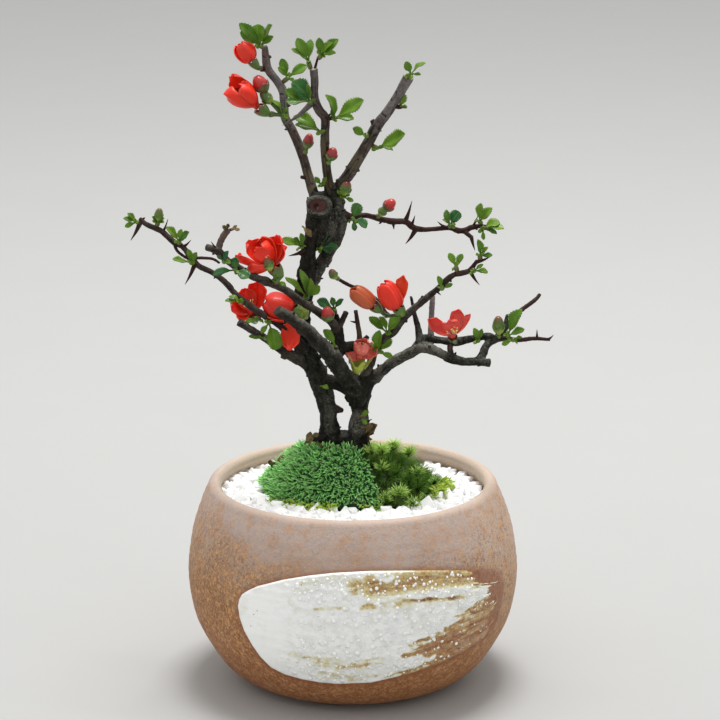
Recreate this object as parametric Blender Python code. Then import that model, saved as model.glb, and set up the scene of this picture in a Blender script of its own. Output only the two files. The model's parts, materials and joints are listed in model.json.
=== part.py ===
"""A flowering quince bonsai in a round stoneware bowl. Lengths are in millimetres until a mesh is made."""
import math
import random

import bmesh
import bpy
import numpy as np
from mathutils.bvhtree import BVHTree

MM = 0.001

# Bowl
BOWL_SIDES = 32
BOWL_OUTER = [(40.4, 0.0), (50.8, 4.0), (57.7, 10.0), (63.8, 19.0), (69.2, 31.0), (71.7, 47.0), (70.2, 64.0),
              (66.2, 78.0), (62.7, 86.4), (60.9, 88.7)]
BOWL_INNER = [(58.0, 88.9), (57.0, 86.6), (61.6, 73.0), (65.6, 56.0), (65.0, 40.0), (60.0, 25.0),
              (50.5, 13.2), (36.0, 7.2)]
DRAIN_HOLE_RADIUS = 4.5
DRAIN_HOLE_OFFSET = 14.0
GAP = 0.3

# Filling
NET_BAR = 1.6
NET_THICKNESS = 0.8
NET_REACH = 21.0
SOIL_LEVEL = 74.0
GRAVEL_LEVEL = 80.0
GRAVEL_RELIEF = 1.3
MOUND_CENTRE = (0.0, 12.0)
MOUND_HALF = (41.0, 33.0)
MOUND_RISE = 22.0
MOUND_POWER = 2.8
MOSS_DEPTH = 5.5
MOSS_SPLIT = (math.radians(-72), math.radians(80))
STUMP_CENTRE = (-3.5, 12.0)
STUMP_HALF = (11.2, 8.4)
STUMP_FOOT = 68.3

# Front view, in which every place on the tree is given: column, row, depth behind the bowl's axis
VIEW_TILT = math.radians(15.1)
VIEW_DISTANCE = 1333.0
VIEW_SCALE = 3100.0
VIEW_AIM = np.array([3.2, 0.0, 142.0])
RIGHT = np.array([1.0, 0.0, 0.0])
AHEAD = np.array([0.0, math.cos(VIEW_TILT), -math.sin(VIEW_TILT)])
UP = np.array([0.0, math.sin(VIEW_TILT), math.cos(VIEW_TILT)])
EYE = VIEW_AIM - VIEW_DISTANCE * AHEAD
WIDTH_SCALE = 0.435
CLEAR = 1.25
SPREAD_FROM = 12.0
SPREAD = 1.4

# Wood: name, sides, path of (column, row, depth, width in columns)
WOOD = [
    ("left_stem", 7, [(333, 455, 12, 26), (331, 438, 12, 20), (328, 418, 11, 18), (325, 397, 11, 20),
                      (318, 378, 10, 20), (308, 357, 9, 22), (302, 338, 9, 21), (300, 325, 9, 20),
                      (302, 300, 10, 19), (306, 280, 11, 19), (309, 251, 11, 15), (313, 232, 11, 15),
                      (316, 216, 11, 20), (319, 203, 10, 22), (320, 192, 10, 15)]),
    ("right_fork", 7, [(308, 290, 11, 12), (313, 280, 12, 14), (320, 266, 13, 13), (328, 251, 14, 15),
                       (336, 238, 14, 14), (339, 224, 13, 15), (335, 208, 12, 18), (336, 194, 11, 16),
                       (338, 186, 11, 13)]),
    ("fork_web", 6, [(327, 205, 11.5, 24), (327, 216, 12, 24), (325, 230, 12.5, 20), (322.5, 242, 13, 14),
                     (321, 250, 13, 7)]),
    ("scar", 7, [(320, 206, 11, 20), (319.5, 206, 5.5, 24), (319.5, 206, 3.8, 20), (319.5, 206, 4.6, 8)]),
    ("right_stem", 7, [(354, 455, 12, 24), (357, 440, 12, 19), (358, 428, 11, 21), (359, 416, 10.5, 16),
                       (360, 406, 10, 18), (359, 394, 9, 25), (364, 384, 8.5, 22), (370, 376, 8, 15)]),
    ("stem_nub", 5, [(326, 408, 11, 10), (336, 409, 10, 9), (343, 411, 9, 5)]),
    ("stem_bridge", 5, [(318, 378, 10, 12), (334, 383, 9, 14), (352, 389, 9, 14)]),
    ("cut_limb", 9, [(358, 394, 8, 16), (348, 381, 4, 17), (339, 368, 1, 18), (333, 358, -1, 17),
                     (322, 347, -3, 15), (307, 331, -6, 13), (291, 319, -8, 12), (277, 310.5, -10, 11.5)]),
    ("middle_stub", 6, [(336, 362, 1, 13), (338, 348, 3, 13), (338, 334, 4, 14), (337, 324, 5, 10),
                        (336, 314, 6, 6)]),
    ("middle_spur", 4, [(338, 328, 4, 7), (342, 321, 3, 6), (346, 312.5, 2, 5.5)]),
    ("broken_stub", 6, [(337, 354, 2, 10), (347, 347, 4, 11), (357, 346, 6, 10), (363, 342, 6, 8),
                        (368, 336, 7, 5)]),
    ("thin_stub", 4, [(359, 345, 6, 6), (359.4, 335, 6, 5), (357.5, 323, 7, 4.5), (355.6, 310, 8, 3.6)]),
    ("low_left", 5, [(308, 366, 8, 11), (299, 359, 6, 11), (284, 351, 4, 10), (268, 340, 2, 8.5),
                     (253, 331, 1, 8), (238.5, 322, 0, 8)]),
    ("low_left_bump", 4, [(286, 352, 4, 7), (283, 358.5, 3, 6)]),
    ("long_left", 5, [(338, 334, 4, 9), (333, 324, 2, 9), (320, 313, -1, 8.5), (299, 300, -5, 8.5),
                      (284, 289.5, -8, 8), (268, 282, -10, 8), (253, 277, -12, 7.5), (242, 270, -13, 7),
                      (225.5, 259, -15, 7), (217.5, 250.5, -16, 8), (205.6, 247, -17, 6.5)]),
    ("long_left_up", 5, [(218, 252, -16, 6), (221, 240.5, -15, 6), (227, 231, -14, 6.5), (228, 229, -14, 6)]),
    ("crown_a", 4, [(226.5, 232, -14, 3.5), (224.5, 226.5, -14, 2.6)]),
    ("crown_b", 4, [(227, 231, -14, 3.5), (236, 228, -13, 2.4)]),
    ("far_left", 5, [(304, 348, 6, 12), (295, 339, 4, 10), (284, 329, 2, 8), (273, 321, 1, 7), (262, 314, 0, 7),
                     (253, 308, 2, 6.5), (241, 299, 4, 6.5), (231.6, 289.5, 6, 6), (222.5, 280, 8, 6),
                     (213, 273, 10, 6), (199.5, 266.5, 12, 6), (192, 259, 13, 7), (183, 247, 15, 6),
                     (173.5, 242, 17, 6), (161, 231, 19, 6), (146, 224, 21, 6), (139.5, 218, 22, 4.5)]),
    ("far_twig_a", 4, [(193, 258, 13, 3.5), (204, 258, 12, 3), (213, 259, 11, 2.8), (219.5, 263, 10, 2.4)]),
    ("far_twig_b", 4, [(174.5, 243, 17, 4), (177, 250.5, 16, 3), (185, 257, 14, 3), (191, 259, 13, 4)]),
    ("top_left", 5, [(319, 203, 10, 11), (314, 194, 10.5, 10.5), (309.5, 180, 12, 10), (305, 163, 14, 9.5),
                     (299, 145.5, 16, 9.5), (292, 130, 17.5, 9), (285, 117, 19, 9), (284, 102, 20, 8.5),
                     (283, 91, 21, 9), (277, 81, 21.5, 8.5), (268, 69, 22, 8.5), (265.6, 56, 22, 8),
                     (265, 46, 21, 6)]),
    ("top_left_spur", 4, [(267, 69, 22, 5), (260.5, 69.5, 21, 4.5)]),
    ("top_left_nub", 4, [(308, 178, 12, 5), (301, 177, 11, 3)]),
    ("top_middle", 5, [(333, 205, 12, 10), (330, 195, 11.5, 10), (328.5, 182, 10, 9.5), (325, 153, 7, 9),
                       (325, 132, 5, 9), (325, 118, 4, 9), (319, 110, 3, 9), (314.6, 98, 2, 8.5),
                       (314.6, 81, 1, 8), (313.6, 68, 0, 8)]),
    ("top_middle_twig", 4, [(314, 72, 0, 3), (317.7, 58, 0, 2)]),
    ("top_middle_spur", 4, [(326, 119, 4, 5), (333, 117, 4, 4), (333, 111.5, 3, 3)]),
    ("top_right", 5, [(335, 203, 12, 13), (339, 188, 11, 12), (349, 174, 9, 12), (359, 157.5, 7, 11.5),
                      (369, 141, 5, 11), (377, 126, 3, 11), (387, 113, 1, 10.5), (399, 94.5, -1, 10),
                      (409, 76, -3, 11)]),
    ("top_right_nub", 4, [(376, 127, 3, 7), (372, 120, 3, 4.5)]),
    ("side_right", 5, [(338, 210, 12, 9), (350, 216.5, 14, 7), (366, 215.6, 17, 6), (380, 219, 20, 6),
                       (393, 221.5, 22, 7), (406, 222, 24, 6), (416, 229, 26, 6), (433, 229, 28, 5),
                       (449, 228, 29, 5.5), (462.5, 231, 30, 6), (472, 227, 31, 5.5), (482, 226, 31, 5),
                       (491, 228, 31, 4)]),
    ("side_right_fork", 4, [(464, 231, 30, 5), (471, 237, 29, 4)]),
    ("upright", 5, [(362, 382, 8, 11), (368, 369, 7, 9), (374, 353, 6, 8), (379.6, 346, 5, 8),
                    (385, 337, 4, 8), (393, 332, 3, 8), (406, 316, 2, 7.5), (423, 301, 0, 7),
                    (441, 286, -2, 6.5), (449, 278, -3, 6), (456, 274, -4, 5.5), (469, 271, -5, 5.5),
                    (477, 261, -6, 4)]),
    ("bud_twig", 4, [(404, 319, 2, 5), (395, 318, 4, 4), (386, 312.6, 6, 3.6), (378, 301, 8, 3.6),
                     (366, 292, 9, 3.6), (351, 286, 8, 3.6), (341.5, 281, 7, 3.4), (337.5, 278.5, 6.5, 3)]),
    ("right_limb", 7, [(366, 384, 8, 15), (375, 376, 8, 13), (393, 362, 7, 11.5), (408, 354, 5, 11.6),
                       (423, 347, 4, 11), (441.5, 354, 2, 9), (459, 361, 0, 9), (477, 362, -2, 8.5),
                       (490.6, 363, -3, 9)]),
    ("upper_arm", 6, [(412, 352, 5, 9), (420, 343, 5, 10), (426, 338, 5, 9), (438.6, 340, 5, 8),
                      (456, 342, 5, 8.5), (471, 339, 4, 7), (488, 336, 2, 7), (494, 339, 2, 6)]),
    ("upper_stub", 4, [(420, 342, 6, 9), (418, 328, 7, 7), (414, 312, 7.5, 4.5), (411, 296, 8, 3)]),
    ("grey_stub", 4, [(431, 340, 6, 5.5), (431, 326, 7, 4.5), (432.6, 296, 8, 3.4)]),
    ("link", 4, [(451, 342, 5, 6), (450, 349, 3.5, 5.5), (452, 357, 1, 6)]),
    ("rising_arm", 6, [(474, 362, -2, 7), (482, 357, -1, 8), (487, 345, 1, 8), (497, 338, 3, 8.5),
                       (504, 329, 4, 7), (507.5, 314, 5, 3)]),
    ("rising_twig", 4, [(503, 331, 4, 6), (511, 321, 5, 4.5), (519, 312, 6, 4.2), (535, 300, 8, 4),
                        (540, 294, 9, 3)]),
    ("far_right", 4, [(495, 339, 3, 7), (506, 338.5, 2, 5), (519, 340, 1, 4.5), (534, 338.5, 0, 4),
                      (550, 339.6, -1, 3)]),
    ("root_left", 5, [(334, 438, 12, 13), (322, 438, 9, 9), (312, 439.5, 7.5, 5)]),
    ("root_right", 5, [(357, 436, 12, 13), (368, 434, 11, 8), (374, 433, 10, 4)]),
]

# Thorns and pointed spurs: base and tip as (column, row, depth), width at the base in columns
THORNS = [
    ((141, 221, 22), (130.6, 240.5, 19), 5), ((195, 264, 12.6), (185, 284.5, 10), 4.5),
    ((183, 247, 15), (191, 240, 13), 3.5), ((163, 232, 19), (168, 219, 17), 3),
    ((314, 101, 2.3), (282.5, 125.5, 0), 6), ((325, 118, 4), (336, 108, 1), 3),
    ((405, 222, 24), (412, 201, 22), 5), ((411, 226, 25), (415, 215.5, 23), 4),
    ((416, 229, 26), (405.5, 244, 24), 5), ((447, 228, 29), (437.5, 221.5, 27), 4),
    ((393, 221, 22), (394, 229.5, 20), 4), ((471, 236, 29.2), (475, 250.5, 27), 4),
    ((472, 228, 31), (478, 215.5, 30), 3.5), ((476, 262, -6), (492, 255.4, -8), 4),
    ((414, 309, 1), (424.5, 297, -3), 3.5), ((470, 271, -5), (479.5, 285, -7), 4),
    ((436, 290, -1.5), (441, 295, -4), 3), ((310, 247, 11), (288.5, 256, 5), 6),
    ((537, 338.5, 0), (537, 329.5, -1), 3), ((548, 339.6, -1), (553.5, 335, -2), 3),
    ((360, 424, 11), (372, 419, 8), 5), ((338, 212, 13), (346, 209, 8), 4), ((358, 322, 7), (350, 321, 6), 3.5),
    ((396, 106, 0), (402, 108, -5), 5), ((219, 251, -16), (211, 241.5, -18), 3.5),
]

# Green growth: name, hubs as (column, row, side of the wood, leaf tips as (column, row[, width to length])),
# buds as (hub number, column, row, width, length)
SPRAYS = [
    ("spray_01", [(261, 46, -1, [(240.6, 23.6), (256, 25), (275, 26), (240, 32), (273, 35)]), (258, 68, -1, [])], []),
    ("spray_02", [(308.5, 62, -1, [(297, 38), (310.5, 39), (291, 49)]),
                  (321, 56, -1, [(338, 39), (331, 42), (335, 52), (319, 38)])], []),
    ("spray_03", [(288, 78, -1, [(280, 59), (278, 67), (307, 65)])], []),
    ("spray_04", [(310, 102, -1, [(294, 82, 0.7), (307, 84), (285, 90), (286, 104)])], []),
    ("spray_05", [(282, 115, -1, [(272, 100), (289, 108), (266, 116)])],
     [(0, 262, 84, 8, 12), (0, 266, 97, 11, 15)]),
    ("spray_06", [(321, 132, -1, [(294, 115), (295, 126)]),
                  (334, 119, -1, [(328, 95), (365, 101), (354, 119), (330, 109)])], []),
    ("spray_07", [(411, 74, -1, [(425, 62), (406, 61), (421, 75)])], []),
    ("spray_08", [(401, 107, -1, [(402, 93, 0.7), (395, 99)])], []),
    ("spray_09", [(366, 136, -1, [(352, 128)]), (377, 148, -1, [(408, 136), (393, 150)])], []),
    ("spray_10", [(306, 152, -1, [])], [(0, 308.5, 141, 9, 15)]),
    ("spray_11", [(329, 163, -1, [])], [(0, 332, 154, 10, 11)]),
    ("spray_12", [(321, 185, -1, [(315, 177), (327, 177)])], []),
    ("spray_13", [(343, 197, -1, [(353, 202), (337, 190)])], [(0, 346, 188, 9, 11)]),
    ("spray_14", [(353, 219, -1, [(358, 203, 0.75), (367, 227, 0.75), (345, 223), (355, 231)])], []),
    ("spray_15", [(379, 216, -1, [])], [(0, 389.5, 205, 12, 14), (0, 383, 211, 9, 10)]),
    ("spray_16", [(450, 225, -1, [(446, 210), (460, 212, 0.8), (443, 219)])], []),
    ("spray_17", [(480, 222, -1, [(481, 203), (491, 208), (487, 213)]),
                  (483, 229, -1, [(500, 223, 0.7), (497, 233), (484, 240), (504, 229)])], []),
    ("spray_18", [(480, 256, -1, [(479, 240), (488, 247), (493, 256)])], []),
    ("spray_19", [(456, 267, -1, [(449, 253), (463, 254)])], []),
    ("spray_20", [(474, 271, -1, [(488, 272), (484, 265)])], []),
    ("spray_21", [(442, 289, -1, [(438, 276), (453, 284)])], []),
    ("spray_22", [(387, 333, -1, [(368, 318), (400, 317), (378, 317)])], []),
    ("spray_23", [(378.5, 352, -1, [(379, 331), (392, 339), (393, 357), (369, 344)])], []),
    ("spray_24", [(336, 347, -1, [(323, 330), (328, 344)])], []),
    ("spray_25", [(334, 309, -1, [(331, 297), (315, 302), (343, 299)])], [(0, 327.5, 314, 13, 14)]),
    ("spray_26", [(307, 298, -1, [(301, 270), (320, 286), (284, 279), (311, 277)])], []),
    ("spray_27", [(302, 247, -1, [(300, 233), (280, 241), (292, 238)])], []),
    ("spray_28", [(321, 248, -1, [(327, 232), (338, 246), (331, 253)])], []),
    ("spray_29", [(235, 270, -1, [(236, 258, 0.8), (249, 279, 0.75), (213, 275)]),
                  (224, 262, -1, [(228, 251), (217, 254)])], []),
    ("spray_30", [(137, 222, -1, [(123, 219), (128, 213), (125, 227)])], []),
    ("spray_31", [(158, 223, -1, [(151, 217), (164, 218)])], [(0, 159, 214, 9, 12)]),
    ("spray_32", [(179, 242, -1, [(166, 227), (182, 229), (190, 232)])], []),
    ("spray_33", [(191, 263, -1, [(188, 249), (172, 261), (198, 252)])], []),
    ("spray_34", [(241, 302, -1, [(225, 302), (229, 296)]), (258, 319, 1, [(246, 323), (264, 323)])], []),
    ("spray_35", [(269, 323, -1, [(275, 350, 0.62), (261, 333)]), (266, 338, -1, [(249, 337, 0.35)])], []),
    ("spray_36", [(277, 281, -1, [(286, 286)])], [(0, 267.5, 263, 11, 15)]),
    ("spray_37", [(478, 341, -1, [(474, 328), (482, 329)])], []),
    ("spray_38", [(508, 336, -1, [(520, 309), (525, 330)]), (513, 340, -1, [(502, 345), (522, 337)])], []),
    ("spray_39", [(499, 336, -1, [])], [(0, 498.5, 325, 12, 18)]),
    ("spray_40", [(306, 318, -1, [])], []),
    ("spray_41", [(386, 316, -1, [])], []),
    ("spray_42", [(455, 342, -1, [])], []),
    ("spray_43", [(357, 374, -1, [(352, 381, 0.4)])], []),
    ("spray_44", [(337, 278, -1, [])], [(0, 333, 274, 9, 10)]),
]

# Flowers: name, spray and hub that bear it, cup (column, row, depth from the hub), cup radius and length,
# where it faces (column, row, depth from the cup), width of its closed ball (0 when open), bulge, and petals as
# tip (column, row, depth from the cup), width and how far the face turns to the front (hollow side when positive)
FLOWERS = [
    ("petals_01", "spray_01", 1, (251.5, 60, -1), (2.0, 4.5), (238, 42.5, 1), 9.2, 0.3, []),
    ("petals_02", "spray_05", 0, (258, 107, -3), (2.7, 5.5), (228, 86, 0), 0, 0.2,
     [(230, 74.5, 2, 8.6, 0.55), (223.5, 93, 0.5, 8.2, -0.5), (241, 82, -3.6, 8.2, 0), (233, 90, 3.6, 8, 0)]),
    ("petals_03", "spray_36", 0, (273, 266, 1), (2.8, 6.0), (258, 246, -1), 0, 0.14,
     [(234.5, 257, -1, 7.5, -0.3), (247, 241, 1.5, 8.5, 0.3), (262, 236, 2.5, 8.5, 0.5), (278, 234.5, 2, 8.5, 0.5),
      (286, 246, 0, 7.5, 0.3), (260, 246, -4, 9, -0.3), (247, 272, -3, 7.5, -0.4)]),
    ("petals_05", "spray_34", 1, (252, 313, 12), (2.7, 5.0), (246, 297, -3), 0, 0.14,
     [(260, 281, 1, 8.6, 0.6), (243, 288, 1.5, 8.6, 0.6), (231, 301, 0.5, 8.2, 0.6), (236, 316, 0, 7.5, 0.5)]),
    ("petals_06", "spray_40", 0, (293, 311, -4), (3.6, 6.5), (260.5, 304, 0), 13.2, 0.1,
     [(289, 350.5, -4, 7.2, 0.95)]),
    ("petals_08", "spray_41", 0, (373, 305, -3), (2.3, 4.5), (350.5, 287.5, 0), 8.8, 0.3, []),
    ("petals_09", "spray_41", 0, (397.5, 307, -5), (2.4, 4.5), (381, 281.5, 0), 10.6, 0.1, [(404, 275, 0.5, 5.2, 0.8)]),
    ("petals_10", "spray_42", 0, (452.5, 336, -3), (1.9, 4.0), (451, 322, -7), 0, 0.12,
     [(427.5, 319.5, -1, 5.6, 0.7), (459.5, 309, 3, 5.8, 0.7), (470.5, 313.5, 0.5, 3.2, 0.1),
      (447.5, 320.5, -4.5, 6.0, -0.6)]),
    ("petals_11", "spray_43", 0, (359.5, 358, -4), (2.9, 7.0), (363.5, 340, -2), 0, 0.2,
     [(366, 338.5, 1, 7.5, 0.4), (376, 350, 0, 7.0, -0.3), (346.5, 353, -1, 6.5, -0.3), (361, 344, -4, 7, 0)]),
]

COLOURS = {
    "pot": (0.36, 0.22, 0.14), "drain_net": (0.03, 0.03, 0.03), "soil": (0.07, 0.045, 0.03),
    "gravel": (0.85, 0.85, 0.82), "moss_mound": (0.04, 0.17, 0.04), "moss_tuft": (0.13, 0.2, 0.03),
    "wood": (0.07, 0.055, 0.04), "green": (0.1, 0.32, 0.06), "petal": (0.75, 0.05, 0.03),
}


def deep(depth):
    """Depth of a branch, spread out before and behind the stems."""
    return SPREAD_FROM + (depth - SPREAD_FROM) * SPREAD


def at(column, row, depth):
    """Place in millimetres seen at a column and row of the front view, at a depth behind the bowl's axis."""
    ray = VIEW_SCALE * AHEAD + (column - 360.0) * RIGHT + (360.0 - row) * UP
    return EYE + ray * ((depth - EYE[1]) / ray[1])


def unit(vector):
    return vector / max(np.linalg.norm(vector), 1e-9)


def material(name):
    found = bpy.data.materials.get(name)
    if found:
        return found
    made = bpy.data.materials.new(name)
    made.use_nodes = True
    shader = made.node_tree.nodes["Principled BSDF"]
    shader.inputs["Base Color"].default_value = COLOURS[name] + (1.0,)
    shader.inputs["Roughness"].default_value = 0.7
    made.diffuse_color = COLOURS[name] + (1.0,)
    return made


def solid(name, points, faces, finish="wood"):
    """Make one closed object from millimetre points, with its faces turned outward."""
    mesh = bpy.data.meshes.new(name)
    mesh.from_pydata([tuple(float(value) * MM for value in point) for point in points], [], faces)
    work = bmesh.new()
    work.from_mesh(mesh)
    bmesh.ops.recalc_face_normals(work, faces=work.faces)
    if work.calc_volume(signed=True) < 0:
        bmesh.ops.reverse_faces(work, faces=work.faces)
    work.to_mesh(mesh)
    work.free()
    mesh.materials.append(material(finish))
    made = bpy.data.objects.new(name, mesh)
    bpy.context.scene.collection.objects.link(made)
    return made


def remove(objects):
    for item in objects:
        mesh = item.data
        bpy.data.objects.remove(item)
        if not mesh.users:
            bpy.data.meshes.remove(mesh)


def boolean(target, others, operation, solver="EXACT"):
    """Join the others to the target, or cut them out of it, and remove them."""
    if not others:
        return target
    group = bpy.data.collections.new("operands")
    for item in others:
        group.objects.link(item)
    step = target.modifiers.new("boolean", "BOOLEAN")
    step.operation = operation
    step.solver = solver
    step.operand_type = "COLLECTION"
    step.collection = group
    bpy.context.view_layer.update()
    result = bpy.data.meshes.new_from_object(target.evaluated_get(bpy.context.evaluated_depsgraph_get()))
    target.modifiers.clear()
    old = target.data
    target.data = result
    bpy.data.meshes.remove(old)
    result.name = target.name
    bpy.data.collections.remove(group)
    remove(others)
    return target


def islands(work):
    """Groups of faces that hang together."""
    left = set(work.faces)
    groups = []
    while left:
        stack = [left.pop()]
        group = list(stack)
        while stack:
            for edge in stack.pop().edges:
                for face in edge.link_faces:
                    if face in left:
                        left.remove(face)
                        stack.append(face)
                        group.append(face)
        groups.append(group)
    return groups


def is_closed(work):
    """Whether every edge has two faces and no corner touches another."""
    places = {tuple(round(value / (0.002 * MM)) for value in vert.co) for vert in work.verts if vert.link_faces}
    used = sum(1 for vert in work.verts if vert.link_faces)
    return len(places) == used and all(len(edge.link_faces) == 2 for edge in work.edges)


def cleaned(target, weld, flat):
    """Working mesh with slivers welded and flat areas joined."""
    work = bmesh.new()
    work.from_mesh(target.data)
    if weld:
        bmesh.ops.remove_doubles(work, verts=work.verts, dist=weld * MM)
        bmesh.ops.dissolve_degenerate(work, edges=work.edges, dist=0.01 * MM)
    if flat:
        bmesh.ops.dissolve_limit(work, angle_limit=math.radians(flat), verts=work.verts, edges=work.edges)
    bmesh.ops.triangulate(work, faces=work.faces)
    return work


def keep_main(target, weld=0.1, flat=2.0):
    """Weld slivers and keep only the largest closed piece."""
    tries = ((weld, flat), (weld, 0), (0.05, 0.5), (0.02, 0), (0.001, 0), (0, 0))
    for number, (try_weld, try_flat) in enumerate(tries):
        work = cleaned(target, try_weld, try_flat)
        groups = sorted(islands(work), key=lambda group: sum(face.calc_area() for face in group))
        if (is_closed(work) and len(groups) == 1) or number == len(tries) - 1:
            break
        work.free()
    for group in groups[:-1]:
        bmesh.ops.delete(work, geom=group, context="FACES")
    loose = [vert for vert in work.verts if not vert.link_faces]
    bmesh.ops.delete(work, geom=loose, context="VERTS")
    bmesh.ops.recalc_face_normals(work, faces=work.faces)
    if work.calc_volume(signed=True) < 0:
        bmesh.ops.reverse_faces(work, faces=work.faces)
    work.to_mesh(target.data)
    work.free()
    return target


def rings_faces(count, rings, closed=False, caps=True):
    """Faces that join rings of equal count; closed joins the last ring to the first."""
    faces = []
    for ring in range(rings if closed else rings - 1):
        low = ring * count
        high = ((ring + 1) % rings) * count
        for index in range(count):
            after = (index + 1) % count
            faces.append((low + index, low + after, high + after, high + index))
    if caps and not closed:
        faces.append(tuple(reversed(range(count))))
        faces.append(tuple(range((rings - 1) * count, rings * count)))
    return faces


def circle(radius, height, count, centre=(0.0, 0.0), stretch=1.0):
    turn = np.arange(count) * 2 * math.pi / count
    return np.stack([centre[0] + radius * np.cos(turn), centre[1] + radius * stretch * np.sin(turn),
                     np.full(count, height)], 1)


def thinned(path, radii, slack=0.45):
    """Leave out the points of a path that its neighbours already describe."""
    keep = [0]
    for index in range(1, len(path) - 1):
        start, end = path[keep[-1]], path[index + 1]
        away = 0.0
        for inner in range(keep[-1] + 1, index + 1):
            share = np.clip(np.dot(path[inner] - start, end - start) / np.dot(end - start, end - start), 0, 1)
            radius = radii[keep[-1]] * (1 - share) + radii[index + 1] * share
            aside = np.linalg.norm(path[inner] - start - (end - start) * share)
            away = max(away, aside + abs(radii[inner] - radius))
        if away > slack:
            keep.append(index)
    keep.append(len(path) - 1)
    return [path[index] for index in keep], [radii[index] for index in keep]


def tube(name, path, radii, sides, finish="wood", rough=0.0):
    """Closed tube along a path, its ring kept from twisting."""
    dice = random.Random(name)
    path, radii = thinned([np.array(point, float) for point in path], list(radii))
    points = []
    across = None
    for index, point in enumerate(path):
        ahead = unit(path[min(index + 1, len(path) - 1)] - path[max(index - 1, 0)])
        guide = across if across is not None else (RIGHT if abs(ahead[0]) < 0.8 else np.array([0.0, 0.0, 1.0]))
        across = unit(guide - ahead * np.dot(guide, ahead))
        beside = np.cross(ahead, across)
        for side in range(sides):
            turn = 2 * math.pi * side / sides
            radius = radii[index] * (1 + rough * dice.uniform(-1, 1))
            points.append(point + radius * (math.cos(turn) * across + math.sin(turn) * beside))
    return solid(name, points, rings_faces(sides, len(path)), finish)


def thorn(name, base, tip, width):
    start = at(base[0], base[1], deep(base[2]))
    end = at(tip[0], tip[1], start[1] + tip[2] - base[2])
    radius = width * WIDTH_SCALE / 2
    return tube(name, [start, end], [radius, 0.22], 3)


def nearest_wood(column, row):
    """Centre and radius of the wood that lies nearest to a column and row of the front view."""
    best = None
    for name, sides, path in WOOD:
        for first, second in zip(path, path[1:]):
            start, end = np.array(first, float), np.array(second, float)
            start[2], end[2] = deep(start[2]), deep(end[2])
            span = end[:2] - start[:2]
            share = np.clip(np.dot(np.array([column, row]) - start[:2], span) / max(span @ span, 1e-6), 0, 1)
            foot = start + (end - start) * share
            radius = foot[3] * WIDTH_SCALE / 2
            away = math.hypot(column - foot[0], row - foot[1]) * WIDTH_SCALE
            if best is None or away - radius < best[0]:
                best = (away - radius, foot, radius, away)
    return best[1], best[2], best[3]


def hub_place(column, row, side):
    """Place of a hub just clear of the wood, and the wood's centre that it springs from."""
    foot, radius, away = nearest_wood(column, row)
    clear = radius + CLEAR
    depth = foot[2] + side * math.sqrt(max(clear * clear - away * away, 0.0))
    return at(column, row, depth), at(foot[0], foot[1], foot[2])


def leaf(name, base, tip, ratio):
    """Folded blade with a toothed edge, from its stalk to its tip."""
    dice = random.Random(name)
    along = tip - base
    length = np.linalg.norm(along)
    along = unit(along)
    facing = unit(-AHEAD * 0.75 + UP * 0.55 + np.array([dice.uniform(-0.5, 0.5) for _ in range(3)]))
    facing = unit(facing - along * np.dot(facing, along))
    beside = np.cross(facing, along)
    half = length * ratio / 2
    if length > 10.5:
        sides = [(0.24, 0.72), (0.46, 1.0), (0.74, 0.8)]
    elif length > 7.2:
        sides = [(0.32, 0.92), (0.68, 0.9)]
    else:
        sides = [(0.5, 1.0)]
    arch = length * dice.uniform(0.03, 0.10)
    fold = 0.30

    def place(share, offset, lift):
        rise = arch * 4 * share * (1 - share) + fold * abs(offset) + lift
        return base + along * share * length + beside * offset + facing * rise

    outline = [(0.0, 0.0)] + [(share, -half * wide) for share, wide in sides] + [(1.0, 0.0)]
    outline += [(share, half * wide) for share, wide in reversed(sides)]
    count = len(outline)
    points = []
    for lift in (0.31, -0.31):
        points += [place(share, offset, lift) for share, offset in outline]
    tip_index = len(sides) + 1
    blade = [(0, index, index + 1) for index in range(1, tip_index)]
    blade += [(0, index, (index + 1) % count) for index in range(tip_index, count - 1)]
    faces = list(blade)
    faces += [tuple(count + corner for corner in reversed(face)) for face in blade]
    faces += [(index, count + index, count + (index + 1) % count, (index + 1) % count) for index in range(count)]
    return solid(name, points, faces, "green")


def lathe(name, start, axis, profile, sides, finish):
    """Closed round body along an axis from (distance, radius) pairs."""
    path = [start + axis * distance for distance, _ in profile]
    return tube(name, path, [radius for _, radius in profile], sides, finish)


def petal(name, cup, tip, axis, width, turn, bulge):
    """Spoon-shaped petal from the cup to its tip, hollow toward the flower's axis or turned to the front."""
    along = tip - cup
    length = np.linalg.norm(along)
    along = unit(along)
    inward = unit(axis - along * np.dot(axis, along) * 0.98) * (1 - abs(turn)) - AHEAD * turn
    inward = unit(inward - along * np.dot(inward, along))
    beside = np.cross(inward, along)
    shares = [(0.0, 0.08), (0.58, 1.0), (1.0, 0.62)]
    points = []
    for lift in (0.32, -0.32):
        for share, wide in shares:
            for edge in (-1, 0, 1):
                belly = -bulge * length * 4 * share * (1 - share)
                spoon = (0.12 + bulge) * width * wide * edge * edge * (0.4 + share)
                short = -0.10 * length * edge * edge * (1 if share == 1.0 else 0)
                points.append(cup + along * (share * length + short) + beside * (edge * wide * width / 2)
                              + inward * (belly + spoon + lift))
    faces = []
    for first in (0, 1, 3, 4):
        faces += [(first, first + 1, first + 4), (first, first + 4, first + 3)]
    faces += [tuple(9 + corner for corner in reversed(face)) for face in list(faces)]
    rim = [0, 1, 2, 5, 8, 7, 6, 3]
    for index, corner in enumerate(rim):
        after = rim[(index + 1) % len(rim)]
        faces.append((corner, 9 + corner, 9 + after, after))
    return solid(name, points, faces, "petal")


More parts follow.
